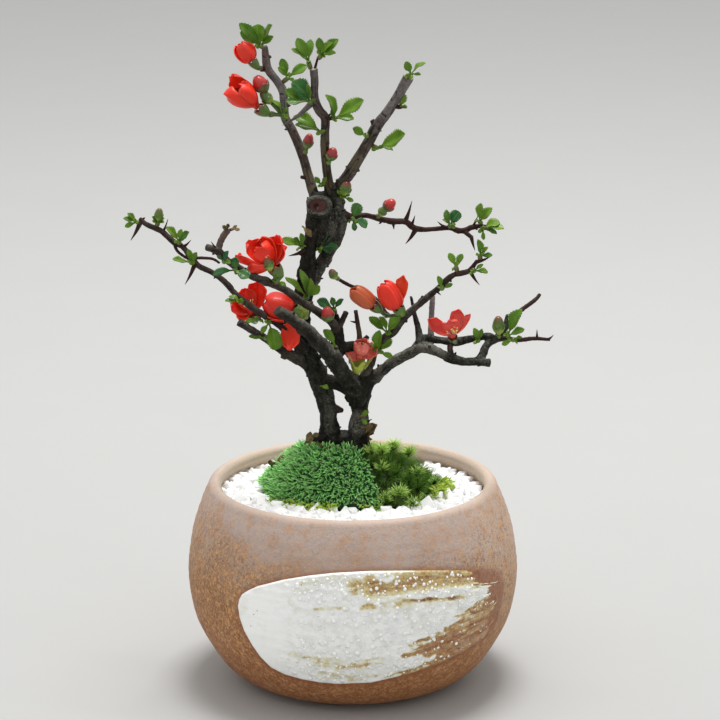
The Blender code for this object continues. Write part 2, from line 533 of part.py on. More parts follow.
def grown(item, amount):
    """Temporary copy swollen by an amount along its normals, used to keep neighbours clear."""
    copy = item.copy()
    copy.data = item.data.copy()
    work = bmesh.new()
    work.from_mesh(copy.data)
    bmesh.ops.triangulate(work, faces=work.faces)
    work.normal_update()
    places = [vert.co + vert.normal * amount * MM for vert in work.verts]
    for vert, place in zip(work.verts, places):
        vert.co = place
    work.to_mesh(copy.data)
    work.free()
    bpy.context.scene.collection.objects.link(copy)
    return copy


def box_of(item):
    corners = np.empty(len(item.data.vertices) * 3)
    item.data.vertices.foreach_get("co", corners)
    corners = corners.reshape(-1, 3)
    return corners.min(0), corners.max(0)


def tree_of(item):
    work = bmesh.new()
    work.from_mesh(item.data)
    tree = BVHTree.FromBMesh(work)
    work.free()
    return tree


def trim(item, neighbours, amount=0.4):
    """Cut the item back where it comes nearer than the gap to a neighbour."""
    low, high = box_of(item)
    for other in neighbours:
        other_low, other_high = box_of(other)
        if np.all(low < other_high + 0.0006) and np.all(high > other_low - 0.0006):
            swollen = grown(other, amount)
            if tree_of(item).overlap(tree_of(swollen)):
                boolean(item, [swollen], "DIFFERENCE", "MANIFOLD")
                keep_main(item)
            else:
                remove([swollen])


def bowl_radius(height):
    heights = [point[1] for point in reversed(BOWL_INNER)]
    radii = [point[0] for point in reversed(BOWL_INNER)]
    return float(np.interp(height, heights, radii))


def faceted_radius(radius, turn):
    """Distance to the side of the many-sided bowl wall in a given direction."""
    step = 2 * math.pi / BOWL_SIDES
    return radius * math.cos(step / 2) / math.cos(turn % step - step / 2)


def mound_edge(turn, spread=0.0):
    ripple = 1 + 0.02 * math.sin(5 * turn + 1) + 0.015 * math.sin(9 * turn)
    return np.array([MOUND_CENTRE[0] + (MOUND_HALF[0] * ripple + spread) * math.cos(turn),
                     MOUND_CENTRE[1] + (MOUND_HALF[1] * ripple + spread) * math.sin(turn)])


def stump_edge(turn, spread=0.0):
    return np.array([STUMP_CENTRE[0] + (STUMP_HALF[0] + spread) * math.cos(turn),
                     STUMP_CENTRE[1] + (STUMP_HALF[1] + spread) * math.sin(turn)])


def mound_height(place):
    reach = math.hypot((place[0] - MOUND_CENTRE[0]) / MOUND_HALF[0], (place[1] - MOUND_CENTRE[1]) / MOUND_HALF[1])
    return GRAVEL_LEVEL + 0.4 + MOUND_RISE * max(1 - reach ** MOUND_POWER, 0)


def soil_height(place):
    return max(SOIL_LEVEL, mound_height(place) - MOSS_DEPTH)


def make_pot():
    profile = BOWL_OUTER + BOWL_INNER
    points = np.concatenate([circle(radius, height, BOWL_SIDES) for radius, height in profile])
    pot = solid("pot", points, rings_faces(BOWL_SIDES, len(profile)), "pot")
    drills = []
    for index in range(3):
        turn = math.radians(90 + 120 * index)
        centre = (DRAIN_HOLE_OFFSET * math.cos(turn), DRAIN_HOLE_OFFSET * math.sin(turn))
        points = np.concatenate([circle(DRAIN_HOLE_RADIUS, height, 10, centre) for height in (-2.0, 9.5)])
        drills.append(solid("drill_%d" % index, points, rings_faces(10, 2), "pot"))
    return boolean(pot, drills, "DIFFERENCE")


def box(name, low, high, finish):
    corners = [(x, y, z) for x in (low[0], high[0]) for y in (low[1], high[1]) for z in (low[2], high[2])]
    faces = [(0, 1, 3, 2), (4, 6, 7, 5), (0, 4, 5, 1), (2, 3, 7, 6), (0, 2, 6, 4), (1, 5, 7, 3)]
    return solid(name, corners, faces, finish)


def make_net():
    bars = []
    base = BOWL_INNER[-1][1] + GAP
    for index, offset in enumerate((-12.0, 0.0, 12.0)):
        reach = math.sqrt(NET_REACH ** 2 - offset ** 2)
        half = NET_BAR / 2
        bars.append(box("bar_a%d" % index, (offset - half, -reach, base), (offset + half, reach, base + NET_THICKNESS),
                        "drain_net"))
        bars.append(box("bar_b%d" % index, (-reach, offset - half, base), (reach, offset + half, base + NET_THICKNESS),
                        "drain_net"))
    net = bars[0]
    net.name = "drain_net"
    net.data.name = "drain_net"
    return boolean(net, bars[1:], "UNION")


def make_soil():
    count = BOWL_SIDES
    turns = [2 * math.pi * index / count for index in range(count)]
    over_net = BOWL_INNER[-1][1] + GAP * 2 + NET_THICKNESS
    rings = [circle(NET_REACH + 1.5, over_net, count), circle(NET_REACH + 1.5, BOWL_INNER[-1][1] + GAP, count)]
    rings += [circle(radius - GAP, height + (GAP if index == 0 else 0), count)
              for index, (radius, height) in enumerate(reversed(BOWL_INNER)) if height < SOIL_LEVEL]
    rings.append(circle(bowl_radius(SOIL_LEVEL) - GAP, SOIL_LEVEL, count))
    for share in (1.0, 0.6, 0.0):
        ring = []
        for turn in turns:
            place = stump_edge(turn, GAP) * (1 - share) + mound_edge(turn) * share
            ring.append((place[0], place[1], SOIL_LEVEL if share == 1.0 else soil_height(place)))
        rings.append(np.array(ring))
    rings.append(np.array([tuple(stump_edge(turn, GAP)) + (STUMP_FOOT - GAP,) for turn in turns]))
    return solid("soil", np.concatenate(rings), rings_faces(count, len(rings)), "soil")


def make_gravel():
    dice = random.Random("gravel")
    count = 56
    shares = (0.0, 0.26, 0.5, 0.74, 1.0)
    rings = []
    for index, share in enumerate(shares):
        ring = []
        for step in range(count):
            turn = 2 * math.pi * step / count
            wobble = 0.0 if share in (0.0, 1.0) else dice.uniform(-0.06, 0.06)
            swing = 0.0 if share in (0.0, 1.0) else dice.uniform(-0.015, 0.015)
            lift = dice.uniform(-1, 1) * GRAVEL_RELIEF
            lift = max(lift, 0.3) if dice.random() < 0.4 else lift
            outer = faceted_radius(bowl_radius(GRAVEL_LEVEL) - GAP * 1.2, turn)
            far = np.array([math.cos(turn), math.sin(turn)]) * outer
            place = mound_edge(turn + swing, GAP) * (1 - share - wobble) + far * (share + wobble)
            ring.append((place[0], place[1], GRAVEL_LEVEL + (min(lift, 0.2) - 0.3 if share in (0.0, 1.0) else lift)))
        rings.append(np.array(ring))
    foot = SOIL_LEVEL + GAP
    outer_foot = []
    inner_foot = []
    for step in range(count):
        turn = 2 * math.pi * step / count
        outer = faceted_radius(bowl_radius(GRAVEL_LEVEL) - GAP * 1.2, turn)
        outer_foot.append((math.cos(turn) * outer, math.sin(turn) * outer, foot))
        inner_foot.append(tuple(mound_edge(turn, GAP)) + (foot,))
    rings += [np.array(outer_foot), np.array(inner_foot)]
    faces = []
    for quad in rings_faces(count, len(rings), closed=True):
        faces += [(quad[0], quad[1], quad[2]), (quad[0], quad[2], quad[3])]
    return solid("gravel", np.concatenate(rings), faces, "gravel")


def make_moss(name, first, last, steps, relief):
    """Cushion of moss on part of the mound, from one direction round to another."""
    dice = random.Random(name)
    shares = (0.0, 0.2, 0.42, 0.64, 0.84, 1.0)
    top, low = [], []
    for step in range(steps + 1):
        turn = first + (last - first) * step / steps
        side = np.array([-math.sin(turn), math.cos(turn)]) * 0.2
        shift = side if step == 0 else (-side if step == steps else side * 0)
        for share in shares:
            place = stump_edge(turn, GAP) * (1 - share) + mound_edge(turn) * share + shift
            inside = 0.0 < share < 1.0 and 0 < step < steps
            lift = relief * dice.uniform(-1, 1) if inside else -0.3
            top.append((place[0], place[1], mound_height(place) + lift))
            low.append((place[0], place[1], (SOIL_LEVEL if share == 1.0 else soil_height(place)) + GAP * 1.6))
    wide = len(shares)
    total = len(top)
    faces = []
    for step in range(steps):
        for index in range(wide - 1):
            quad = (step * wide + index, step * wide + index + 1, (step + 1) * wide + index + 1, (step + 1) * wide + index)
            faces += [(quad[0], quad[1], quad[2]), (quad[0], quad[2], quad[3])]
            lower = [total + corner for corner in quad]
            faces += [(lower[2], lower[1], lower[0]), (lower[3], lower[2], lower[0])]
    rim = [index for index in range(wide)]
    rim += [step * wide + wide - 1 for step in range(1, steps + 1)]
    rim += [steps * wide + index for index in range(wide - 2, -1, -1)]
    rim += [step * wide for step in range(steps - 1, 0, -1)]
    for index, corner in enumerate(rim):
        after = rim[(index + 1) % len(rim)]
        faces.append((corner, total + corner, total + after, after))
    return solid(name, top + low, faces, name)


def make_trunk():
    stump = []
    for height, spread in ((STUMP_FOOT, -1.5), (STUMP_FOOT + 2, 0.0), (101.2, 0.0), (103.2, 0.6), (104.8, -1.5), (106.0, -4.5)):
        stump.append([tuple(stump_edge(2 * math.pi * index / 12, spread)) + (height,) for index in range(12)])
    trunk = solid("trunk", np.concatenate([np.array(ring) for ring in stump]), rings_faces(12, len(stump)))
    parts = []
    for name, sides, path in WOOD:
        points = [at(place[0], place[1], deep(place[2])) for place in path]
        radii = [place[3] * WIDTH_SCALE / 2 for place in path]
        parts.append(tube("wood_" + name, points, radii, sides, rough=0.05))
    for index, (base, tip, width) in enumerate(THORNS):
        parts.append(thorn("thorn_%02d" % index, base, tip, width))
    boolean(trunk, parts, "UNION")
    return keep_main(trunk)


def make_spray(name, hubs, buds, cups, bark):
    """One spur's green growth: hubs, leaves, bud stalks and buds, and the cups of its flowers."""
    parts = []
    places = []
    for index, (column, row, side, tips) in enumerate(hubs):
        place = hub_place(column, row, side)[0]
        places.append(place)
        surface = np.array(bark.find_nearest(tuple(place * MM))[0]) / MM
        away = unit(place - surface)
        parts.append(tube("%s_hub%d" % (name, index), [surface + away * 0.36, place, place + away * 0.9],
                          [0.85, 1.2, 0.7], 4, "green"))
        for number, tip in enumerate(tips):
            label = "%s_leaf%d%d" % (name, index, number)
            dice = random.Random(label + "reach")
            across = math.hypot(tip[0] - column, tip[1] - row) * WIDTH_SCALE
            view = at(column, row, place[1])
            reach = at(tip[0], tip[1], view[1] + side * 0.5 + across * dice.uniform(-0.55, 0.35))
            start = place + unit(reach - place) * 0.35
            parts.append(leaf(label, start, reach, tip[2] if len(tip) > 2 else dice.uniform(0.40, 0.50)))
    for index in range(1, len(places)):
        before, after = hubs[index - 1], hubs[index]
        middle = hub_place((before[0] + after[0]) / 2, (before[1] + after[1]) / 2, after[2])[0]
        parts.append(tube("%s_link%d" % (name, index), [places[index - 1], middle, places[index]],
                          [0.65, 0.65, 0.65], 4, "green"))
    for number, (hub, column, row, width, length) in enumerate(buds):
        place = places[hub]
        centre = at(column, row, place[1] - 1.0)
        axis = unit(centre - place)
        half = length * WIDTH_SCALE / 2
        radius = width * WIDTH_SCALE / 2
        start = centre - axis * half
        label = "%s_bud%d" % (name, number)
        profile = [(-0.3, 0.6), (half * 0.6, radius), (half * 1.35, radius * 0.95), (half * 2.0, 0.35)]
        parts.append(lathe(label, start, axis, profile, 5, "green"))
        if np.linalg.norm(start - place) > 0.6:
            parts.append(tube(label + "_stalk", [place, start + axis * 0.2], [0.7, 0.7], 4, "green"))
    for label, hub, cup, axis, radius, length in cups:
        neck = cup - axis * length
        profile = [(0.0, 0.8), (length * 0.4, radius * 0.85), (length, radius)]
        parts.append(lathe(label + "_cup", neck, axis, profile, 5, "green"))
        place = places[hub]
        if np.linalg.norm(neck - place) > 0.5:
            parts.append(tube(label + "_stalk", [place, neck + axis * 0.4], [0.8, 0.8], 4, "green"))
    spray = parts[0]
    spray.name = name
    spray.data.name = name
    return keep_main(boolean(spray, parts[1:], "UNION"))


def make_flower(name, cup, axis, ball, petals):
    """Petals set round a small crown of stamens, or folded into a closed ball."""
    if ball:
        reach, radius = ball
        profile = [(0.0, 1.4), (reach * 0.16, radius * 0.76), (reach * 0.45, radius), (reach * 0.78, radius * 0.84),
                   (reach, radius * 0.3)]
        parts = [lathe(name + "_ball", cup, axis, profile, 7, "petal")]
    else:
        parts = [lathe(name + "_heart", cup, axis, [(0.0, 1.4), (3.4, 1.8)], 4, "petal")]
    for index, (tip, width, turn, bulge) in enumerate(petals):
        start = cup + axis * (1.3 + 0.7 * (index % 2))
        parts.append(petal("%s_petal%d" % (name, index), start, tip, axis, width, turn, bulge))
    flower = parts[0]
    flower.name = name
    flower.data.name = name
    return keep_main(boolean(flower, parts[1:], "UNION"))


def flower_plan():
    """Cup, axis, ball and petals of each flower in millimetres."""
    plan = {}
    hubs = {name: places for name, places, _ in SPRAYS}
    for name, spray, hub, cup, size, face, ball, bulge, tips in FLOWERS:
        column, row, side, _ = hubs[spray][hub]
        depth = hub_place(column, row, side)[0][1]
        centre = at(cup[0], cup[1], depth + cup[2])
        ahead = at(face[0], face[1], centre[1] + face[2]) - centre
        closed = (np.linalg.norm(ahead), ball / 2) if ball else None
        petals = [(at(tip[0], tip[1], centre[1] + tip[2]), tip[3], tip[4], bulge) for tip in tips]
        plan[name] = (spray, hub, centre, unit(ahead), size, closed, petals)
    return plan


def main():
    for item in list(bpy.data.objects):
        bpy.data.objects.remove(item)
    make_pot()
    make_net()
    make_soil()
    make_gravel()
    make_moss("moss_mound", MOSS_SPLIT[1], MOSS_SPLIT[0] + 2 * math.pi, 18, 0.8)
    make_moss("moss_tuft", MOSS_SPLIT[0], MOSS_SPLIT[1], 13, 1.3)
    trunk = make_trunk()
    bark = tree_of(trunk)
    plan = flower_plan()
    placed = []
    for name, hubs, buds in SPRAYS:
        cups = [(label, hub, centre - axis * GAP, axis, size[0], size[1])
                for label, (spray, hub, centre, axis, size, _, _) in plan.items() if spray == name]
        spray = make_spray(name, hubs, buds, cups, bark)
        trim(spray, [trunk] + placed)
        placed.append(spray)
    for name, (_, _, centre, axis, _, ball, petals) in plan.items():
        flower = make_flower(name, centre, axis, ball, petals)
        trim(flower, [trunk] + placed)
        placed.append(flower)


main()
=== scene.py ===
"""Looks of a flowering quince bonsai in a round stoneware bowl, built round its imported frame."""
import json
import math
import random

import bmesh
import bpy
import numpy as np
from mathutils.bvhtree import BVHTree
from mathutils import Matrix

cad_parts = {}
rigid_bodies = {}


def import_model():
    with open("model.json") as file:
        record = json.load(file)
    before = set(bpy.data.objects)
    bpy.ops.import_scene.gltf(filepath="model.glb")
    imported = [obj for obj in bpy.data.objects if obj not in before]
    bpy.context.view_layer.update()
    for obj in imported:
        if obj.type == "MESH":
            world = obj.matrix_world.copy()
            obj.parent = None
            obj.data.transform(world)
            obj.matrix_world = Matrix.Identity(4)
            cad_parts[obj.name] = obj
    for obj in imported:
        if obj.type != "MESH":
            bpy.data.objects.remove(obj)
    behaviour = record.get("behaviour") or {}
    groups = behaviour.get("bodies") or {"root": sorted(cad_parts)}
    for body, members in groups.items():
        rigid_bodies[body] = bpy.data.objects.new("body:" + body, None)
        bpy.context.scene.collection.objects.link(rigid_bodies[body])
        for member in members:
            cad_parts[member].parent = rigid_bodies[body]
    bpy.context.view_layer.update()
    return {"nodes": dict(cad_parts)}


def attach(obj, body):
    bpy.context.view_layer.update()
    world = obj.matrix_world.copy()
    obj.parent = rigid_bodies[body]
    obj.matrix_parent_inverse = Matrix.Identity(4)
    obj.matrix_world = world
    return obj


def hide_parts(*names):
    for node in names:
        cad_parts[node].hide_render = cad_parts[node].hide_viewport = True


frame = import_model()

MM = 0.001
TINY = 1e-9
FULL_TURN = 2 * math.pi
# Upper ends of turns and phases that are drawn at random
ANY_TURN = 6.283
ANY_PHASE = 6.28

# Bowl: radius and height in millimetres, up the outside and down the inside
BOWL_OUTER = [
    (40.4, 0.0), (50.8, 4.0), (57.7, 10.0), (63.8, 19.0), (69.2, 31.0), (71.7, 47.0), (70.2, 64.0),
    (66.2, 78.0), (62.7, 86.4),
]
BOWL_INNER = [
    (56.9, 86.6), (61.6, 73.0), (65.6, 56.0), (65.0, 40.0), (60.0, 25.0), (50.5, 13.2), (36.0, 7.2),
]
FOOT_EDGE = (38.5, 0.35)
LIP_FOOT = 86.5
LIP_TOP = 88.9
RING_STEP = 4.1
DRAIN_HOLE_RADIUS = 4.5
DRAIN_HOLE_OFFSET = 14.0
DRAIN_HOLE_ANGLES = (90, 210, 330)

# Filling
GRAVEL_LEVEL = 80.0
GRAVEL_FOOT = 75.0
GRAVEL_REACH = 57.2
CHIP_SHAPES = 9
MOUND_CENTRE = (0.0, 12.0)
MOUND_HALF = (41.0, 33.0)
MOUND_RISE = 22.0
MOUND_POWER = 2.8
MOSS_HOLLOW = (19.3, -5.0)
MOSS_SPLIT = (math.radians(-72), math.radians(80))
MOSS_DROP = 1.2
BED_LOWEST = 79.0
BED_SHARES = [0.0, 0.08, 0.16, 0.26, 0.36, 0.46, 0.56, 0.66, 0.75, 0.83, 0.90, 0.96, 1.0]
# Yellow fringes of the moss: first and last direction in degrees, inner share, push outward, rise
FRINGES = [(-143, -99, 0.93, 0.060, 1.5), (-34, 2, 0.90, 0.045, 2.3), (-86, -76, 0.95, 0.045, 1.6)]
# Mosses: name, and the tones of root, middle, tip and dry patches
MOSS_TONES = [
    ("dark carpet moss", [(0.007, 0.030, 0.007), (0.072, 0.30, 0.058), (0.42, 0.90, 0.28),
                          (0.40, 0.50, 0.25)]),
    ("olive haircap moss", [(0.005, 0.017, 0.002), (0.028, 0.105, 0.004), (0.14, 0.33, 0.014),
                            (0.20, 0.32, 0.07)]),
    ("yellow moss fringe", [(0.07, 0.13, 0.01), (0.27, 0.42, 0.03), (0.52, 0.72, 0.09), (0.35, 0.28, 0.08)]),
    ("bright haircap stars", [(0.008, 0.020, 0.003), (0.065, 0.19, 0.008), (0.62, 0.92, 0.18),
                              (0.30, 0.34, 0.08)]),
]
# Large tufts of haircap moss: column, row and depth of the root, reach in millimetres, lean to the right,
# needles, light
MOSS_STARS = [
    (372, 450, 4, 4.8, -0.3, 70, 1.0), (382, 451, 3, 5.4, -0.2, 100, 1.0),
    (393, 446, 10, 5.0, 0.0, 80, 0.9), (408, 452, 8, 5.0, 0.6, 80, 0.7), (383, 466, -8, 4.2, -0.7, 60, 0.5),
    (399, 488, -14, 5.8, 0.0, 120, 0.6), (386, 482, -17, 4.6, -0.3, 70, 0.5),
    (412, 494, -16, 5.0, 0.3, 80, 0.4), (425, 484, -9, 4.2, 0.4, 60, 0.2),
    (416, 470, -2, 4.2, 0.7, 60, 0.3), (434, 476, 2, 3.8, 0.6, 50, 0.1),
    (378, 496, -21, 4.0, -0.3, 50, 0.4),
]
STUMP_CENTRE = (-3.5, 12.0)
STUMP_HALF = (11.2, 8.4)
STUMP_FOOT = 68.3
STUMP_TOP = 107
# Rings of the stump: height and how far the ring stands out
STUMP_RINGS = [(STUMP_FOOT + 6, -1.0), (90, 0.0), (99.0, 0.4), (101.2, 0.2), (103.2, -0.6), (104.8, -2.4),
               (106.0, -5.4)]

# Front view, in which every place on the tree is given: column, row, depth behind the bowl's axis
VIEW_TILT = math.radians(15.1)
VIEW_DISTANCE = 1333.0
VIEW_SCALE = 3100.0
VIEW_MIDDLE = 360.0
VIEW_AIM = np.array([3.2, 0.0, 142.0])
RIGHT = np.array([1.0, 0.0, 0.0])
AHEAD = np.array([0.0, math.cos(VIEW_TILT), -math.sin(VIEW_TILT)])
UP = np.array([0.0, math.sin(VIEW_TILT), math.cos(VIEW_TILT)])
EYE = VIEW_AIM - VIEW_DISTANCE * AHEAD
SKY = np.array([0.0, 0.0, 1.0])
# Millimetres to a column at the stems; gap between the wood and the hub of a leaf
WIDTH_SCALE = 0.435
CLEAR = 1.25
# Depth of the stems, and how far the given depths are spread from there
SPREAD_FROM = 12.0
SPREAD = 1.4

# Skin of the wood: radius from which a limb is part of it, voxel size, passes of softening, number of nubs
FINE_RADIUS = 1.75
SKIN_GRAIN = 0.49
SKIN_PASSES = 3
NUBS = 130
# Healed cut under the crown, in columns and rows: middle and half size of its ring, then of its hole
SCAR = (318.5, 205.5)
SCAR_HALF = (10.5, 8.0)
SCAR_HOLE = (316, 206)
SCAR_HOLE_HALF = (3.6, 3.0)
# Middle of the burl
BURL = (358, 424)

# Wood: name, path of (column, row, depth, width in columns)
WOOD = [
    ("left_stem", [(333, 455, 12, 26), (331, 438, 12, 20), (328, 418, 11, 18), (325, 397, 11, 20),
                   (318, 378, 10, 20), (308, 357, 9, 22), (302, 338, 9, 21), (300, 325, 9, 20),
                   (302, 300, 10, 19), (306, 280, 11, 19), (309, 251, 11, 15), (313, 232, 11, 15),
                   (316, 216, 11, 20), (319, 203, 10, 22), (320, 192, 10, 15)]),
    ("right_fork", [(308, 290, 11, 12), (313, 280, 12, 14), (320, 266, 13, 13), (328, 251, 14, 15),
                    (336, 238, 14, 14), (339, 224, 13, 15), (335, 208, 12, 18), (336, 194, 11, 16),
                    (338, 186, 11, 13)]),
    ("fork_web", [(327, 205, 11.5, 24), (327, 216, 12, 24), (325, 230, 12.5, 20), (322.5, 242, 13, 14),
                  (321, 250, 13, 7)]),
    ("scar", [(320, 206, 11, 20), (319.5, 206, 5.5, 24), (319.5, 206, 3.8, 20), (319.5, 206, 4.6, 8)]),
    ("right_stem", [(354, 455, 12, 24), (357, 440, 12, 19), (358, 428, 11, 21), (359, 416, 10.5, 16),
                    (360, 406, 10, 18), (359, 394, 9, 25), (364, 384, 8.5, 22), (370, 376, 8, 15)]),
    ("stem_nub", [(326, 408, 11, 10), (336, 409, 10, 9), (343, 411, 9, 5)]),
    ("stem_bridge", [(318, 378, 10, 12), (334, 383, 9, 14), (352, 389, 9, 14)]),
    ("cut_limb", [(358, 394, 8, 16), (348, 381, 4, 17), (339, 368, 1, 18), (333, 358, -1, 17),
                  (322, 347, -3, 15), (307, 331, -6, 13), (291, 319, -8, 12), (277, 310.5, -10, 11.5)]),
    ("middle_stub", [(336, 362, 1, 13), (338, 348, 3, 13), (338, 334, 4, 14), (337, 324, 5, 10),
                     (336, 314, 6, 6)]),
    ("middle_spur", [(338, 328, 4, 7), (342, 321, 3, 6), (346, 312.5, 2, 5.5)]),
    ("broken_stub", [(337, 354, 2, 10), (347, 347, 4, 11), (357, 346, 6, 10), (363, 342, 6, 8),
                     (368, 336, 7, 5)]),
    ("thin_stub", [(359, 345, 6, 6), (359.4, 335, 6, 5), (357.5, 323, 7, 4.5), (355.6, 310, 8, 3.6)]),
    ("low_left", [(308, 366, 8, 11), (299, 359, 6, 11), (284, 351, 4, 10), (268, 340, 2, 8.5),
                  (253, 331, 1, 8), (238.5, 322, 0, 8)]),
    ("low_left_bump", [(286, 352, 4, 7), (283, 358.5, 3, 6)]),
    ("long_left", [(338, 334, 4, 9), (333, 324, 2, 9), (320, 313, -1, 8.5), (299, 300, -5, 8.5),
                   (284, 289.5, -8, 8), (268, 282, -10, 8), (253, 277, -12, 7.5), (242, 270, -13, 7),
                   (225.5, 259, -15, 7), (217.5, 250.5, -16, 8), (205.6, 247, -17, 6.5)]),
    ("long_left_up", [(218, 252, -16, 6), (221, 240.5, -15, 6), (227, 231, -14, 6.5), (228, 229, -14, 6)]),
    ("crown_a", [(226.5, 232, -14, 3.5), (224.5, 226.5, -14, 2.6)]),
    ("crown_b", [(227, 231, -14, 3.5), (236, 228, -13, 2.4)]),
    ("far_left", [(304, 348, 6, 12), (295, 339, 4, 10), (284, 329, 2, 8), (273, 321, 1, 7), (262, 314, 0, 7),
                  (253, 308, 2, 6.5), (241, 299, 4, 6.5), (231.6, 289.5, 6, 6), (222.5, 280, 8, 6),
                  (213, 273, 10, 6), (199.5, 266.5, 12, 6), (192, 259, 13, 7), (183, 247, 15, 6),
                  (173.5, 242, 17, 6), (161, 231, 19, 6), (146, 224, 21, 6), (139.5, 218, 22, 4.5)]),
    ("far_twig_a", [(193, 258, 13, 3.5), (204, 258, 12, 3), (213, 259, 11, 2.8), (219.5, 263, 10, 2.4)]),
    ("far_twig_b", [(174.5, 243, 17, 4), (177, 250.5, 16, 3), (185, 257, 14, 3), (191, 259, 13, 4)]),
    ("top_left", [(319, 203, 10, 11), (314, 194, 10.5, 10.5), (309.5, 180, 12, 10), (305, 163, 14, 9.5),
                  (299, 145.5, 16, 9.5), (292, 130, 17.5, 9), (285, 117, 19, 9), (284, 102, 20, 8.5),
                  (283, 91, 21, 9), (277, 81, 21.5, 8.5), (268, 69, 22, 8.5), (265.6, 56, 22, 8),
                  (265, 46, 21, 6)]),
    ("top_left_spur", [(267, 69, 22, 5), (260.5, 69.5, 21, 4.5)]),
    ("top_left_nub", [(308, 178, 12, 5), (301, 177, 11, 3)]),
    ("top_middle", [(333, 205, 12, 10), (330, 195, 11.5, 10), (328.5, 182, 10, 9.5), (325, 153, 7, 9),
                    (325, 132, 5, 9), (325, 118, 4, 9), (319, 110, 3, 9), (314.6, 98, 2, 8.5),
                    (314.6, 81, 1, 8), (313.6, 68, 0, 8)]),
    ("top_middle_twig", [(314, 72, 0, 3), (317.7, 58, 0, 2)]),
    ("top_middle_spur", [(326, 119, 4, 5), (333, 117, 4, 4), (333, 111.5, 3, 3)]),
    ("top_right", [(335, 203, 12, 13), (339, 188, 11, 12), (349, 174, 9, 12), (359, 157.5, 7, 11.5),
                   (369, 141, 5, 11), (377, 126, 3, 11), (387, 113, 1, 10.5), (399, 94.5, -1, 10),
                   (409, 76, -3, 11)]),
    ("top_right_nub", [(376, 127, 3, 7), (372, 120, 3, 4.5)]),
    ("side_right", [(338, 210, 12, 9), (350, 216.5, 14, 7), (366, 215.6, 17, 6), (380, 219, 20, 6),
                    (393, 221.5, 22, 7), (406, 222, 24, 6), (416, 229, 26, 6), (433, 229, 28, 5),
                    (449, 228, 29, 5.5), (462.5, 231, 30, 6), (472, 227, 31, 5.5), (482, 226, 31, 5),
                    (491, 228, 31, 4)]),
    ("side_right_fork", [(464, 231, 30, 5), (471, 237, 29, 4)]),
    ("upright", [(362, 382, 8, 11), (368, 369, 7, 9), (374, 353, 6, 8), (379.6, 346, 5, 8),
                 (385, 337, 4, 8), (393, 332, 3, 8), (406, 316, 2, 7.5), (423, 301, 0, 7),
                 (441, 286, -2, 6.5), (449, 278, -3, 6), (456, 274, -4, 5.5), (469, 271, -5, 5.5),
                 (477, 261, -6, 4)]),
    ("bud_twig", [(404, 319, 2, 5), (395, 318, 4, 4), (386, 312.6, 6, 3.6), (378, 301, 8, 3.6),
                  (366, 292, 9, 3.6), (351, 286, 8, 3.6), (341.5, 281, 7, 3.4), (337.5, 278.5, 6.5, 3)]),
    ("right_limb", [(366, 384, 8, 15), (375, 376, 8, 13), (393, 362, 7, 11.5), (408, 354, 5, 11.6),
                    (423, 347, 4, 11), (441.5, 354, 2, 9), (459, 361, 0, 9), (477, 362, -2, 8.5),
                    (490.6, 363, -3, 9)]),
    ("upper_arm", [(412, 352, 5, 9), (420, 343, 5, 10), (426, 338, 5, 9), (438.6, 340, 5, 8),
                   (456, 342, 5, 8.5), (471, 339, 4, 7), (488, 336, 2, 7), (494, 339, 2, 6)]),
    ("upper_stub", [(420, 342, 6, 9), (418, 328, 7, 7), (414, 312, 7.5, 4.5), (411, 296, 8, 3)]),
    ("grey_stub", [(431, 340, 6, 6.5), (431, 326, 7, 5.6), (432.6, 296, 8, 5.2)]),
    ("link", [(451, 342, 5, 6), (450, 349, 3.5, 5.5), (452, 357, 1, 6)]),
    ("rising_arm", [(474, 362, -2, 7), (482, 357, -1, 8), (487, 345, 1, 8), (497, 338, 3, 8.5),
                    (504, 329, 4, 7), (507.5, 314, 5, 3)]),
    ("rising_twig", [(503, 331, 4, 6), (511, 321, 5, 4.5), (519, 312, 6, 4.2), (535, 300, 8, 4),
                     (540, 294, 9, 3)]),
    ("far_right", [(495, 339, 3, 7), (506, 338.5, 2, 5), (519, 340, 1, 4.5), (534, 338.5, 0, 4),
                   (550, 339.6, -1, 3)]),
    ("root_left", [(334, 438, 12, 13), (322, 438, 9, 9), (312, 439.5, 7.5, 5)]),
    ("root_right", [(357, 436, 12, 13), (368, 434, 11, 8), (374, 433, 10, 4)]),
]

# Thorns and pointed spurs: base and tip as (column, row, depth), width at the base in columns
THORNS = [
    ((141, 221, 22), (130.6, 240.5, 19), 5), ((195, 264, 12.6), (185, 284.5, 10), 4.5),
    ((183, 247, 15), (191, 240, 13), 3.5), ((163, 232, 19), (168, 219, 17), 3),
    ((314, 101, 2.3), (282.5, 125.5, 0), 6), ((325, 118, 4), (336, 108, 1), 3),
    ((405, 222, 24), (412, 201, 22), 5), ((411, 226, 25), (415, 215.5, 23), 4),
    ((416, 229, 26), (405.5, 244, 24), 5), ((447, 228, 29), (437.5, 221.5, 27), 4),
    ((393, 221, 22), (394, 229.5, 20), 4), ((471, 236, 29.2), (475, 250.5, 27), 4),
    ((472, 228, 31), (478, 215.5, 30), 3.5), ((476, 262, -6), (492, 255.4, -8), 4),
    ((414, 309, 1), (424.5, 297, -3), 3.5), ((470, 271, -5), (479.5, 285, -7), 4),
    ((436, 290, -1.5), (441, 295, -4), 3), ((310, 247, 11), (288.5, 256, 5), 6),
    ((537, 338.5, 0), (537, 329.5, -1), 3), ((548, 339.6, -1), (553.5, 335, -2), 3),
    ((360, 424, 11), (372, 419, 8), 5), ((338, 212, 13), (346, 209, 8), 4),
    ((358, 322, 7), (350, 321, 6), 3.5), ((396, 106, 0), (402, 108, -5), 5),
    ((219, 251, -16), (211, 241.5, -18), 3.5),
]

STEEL_THORN = (314, 101, 2.3)
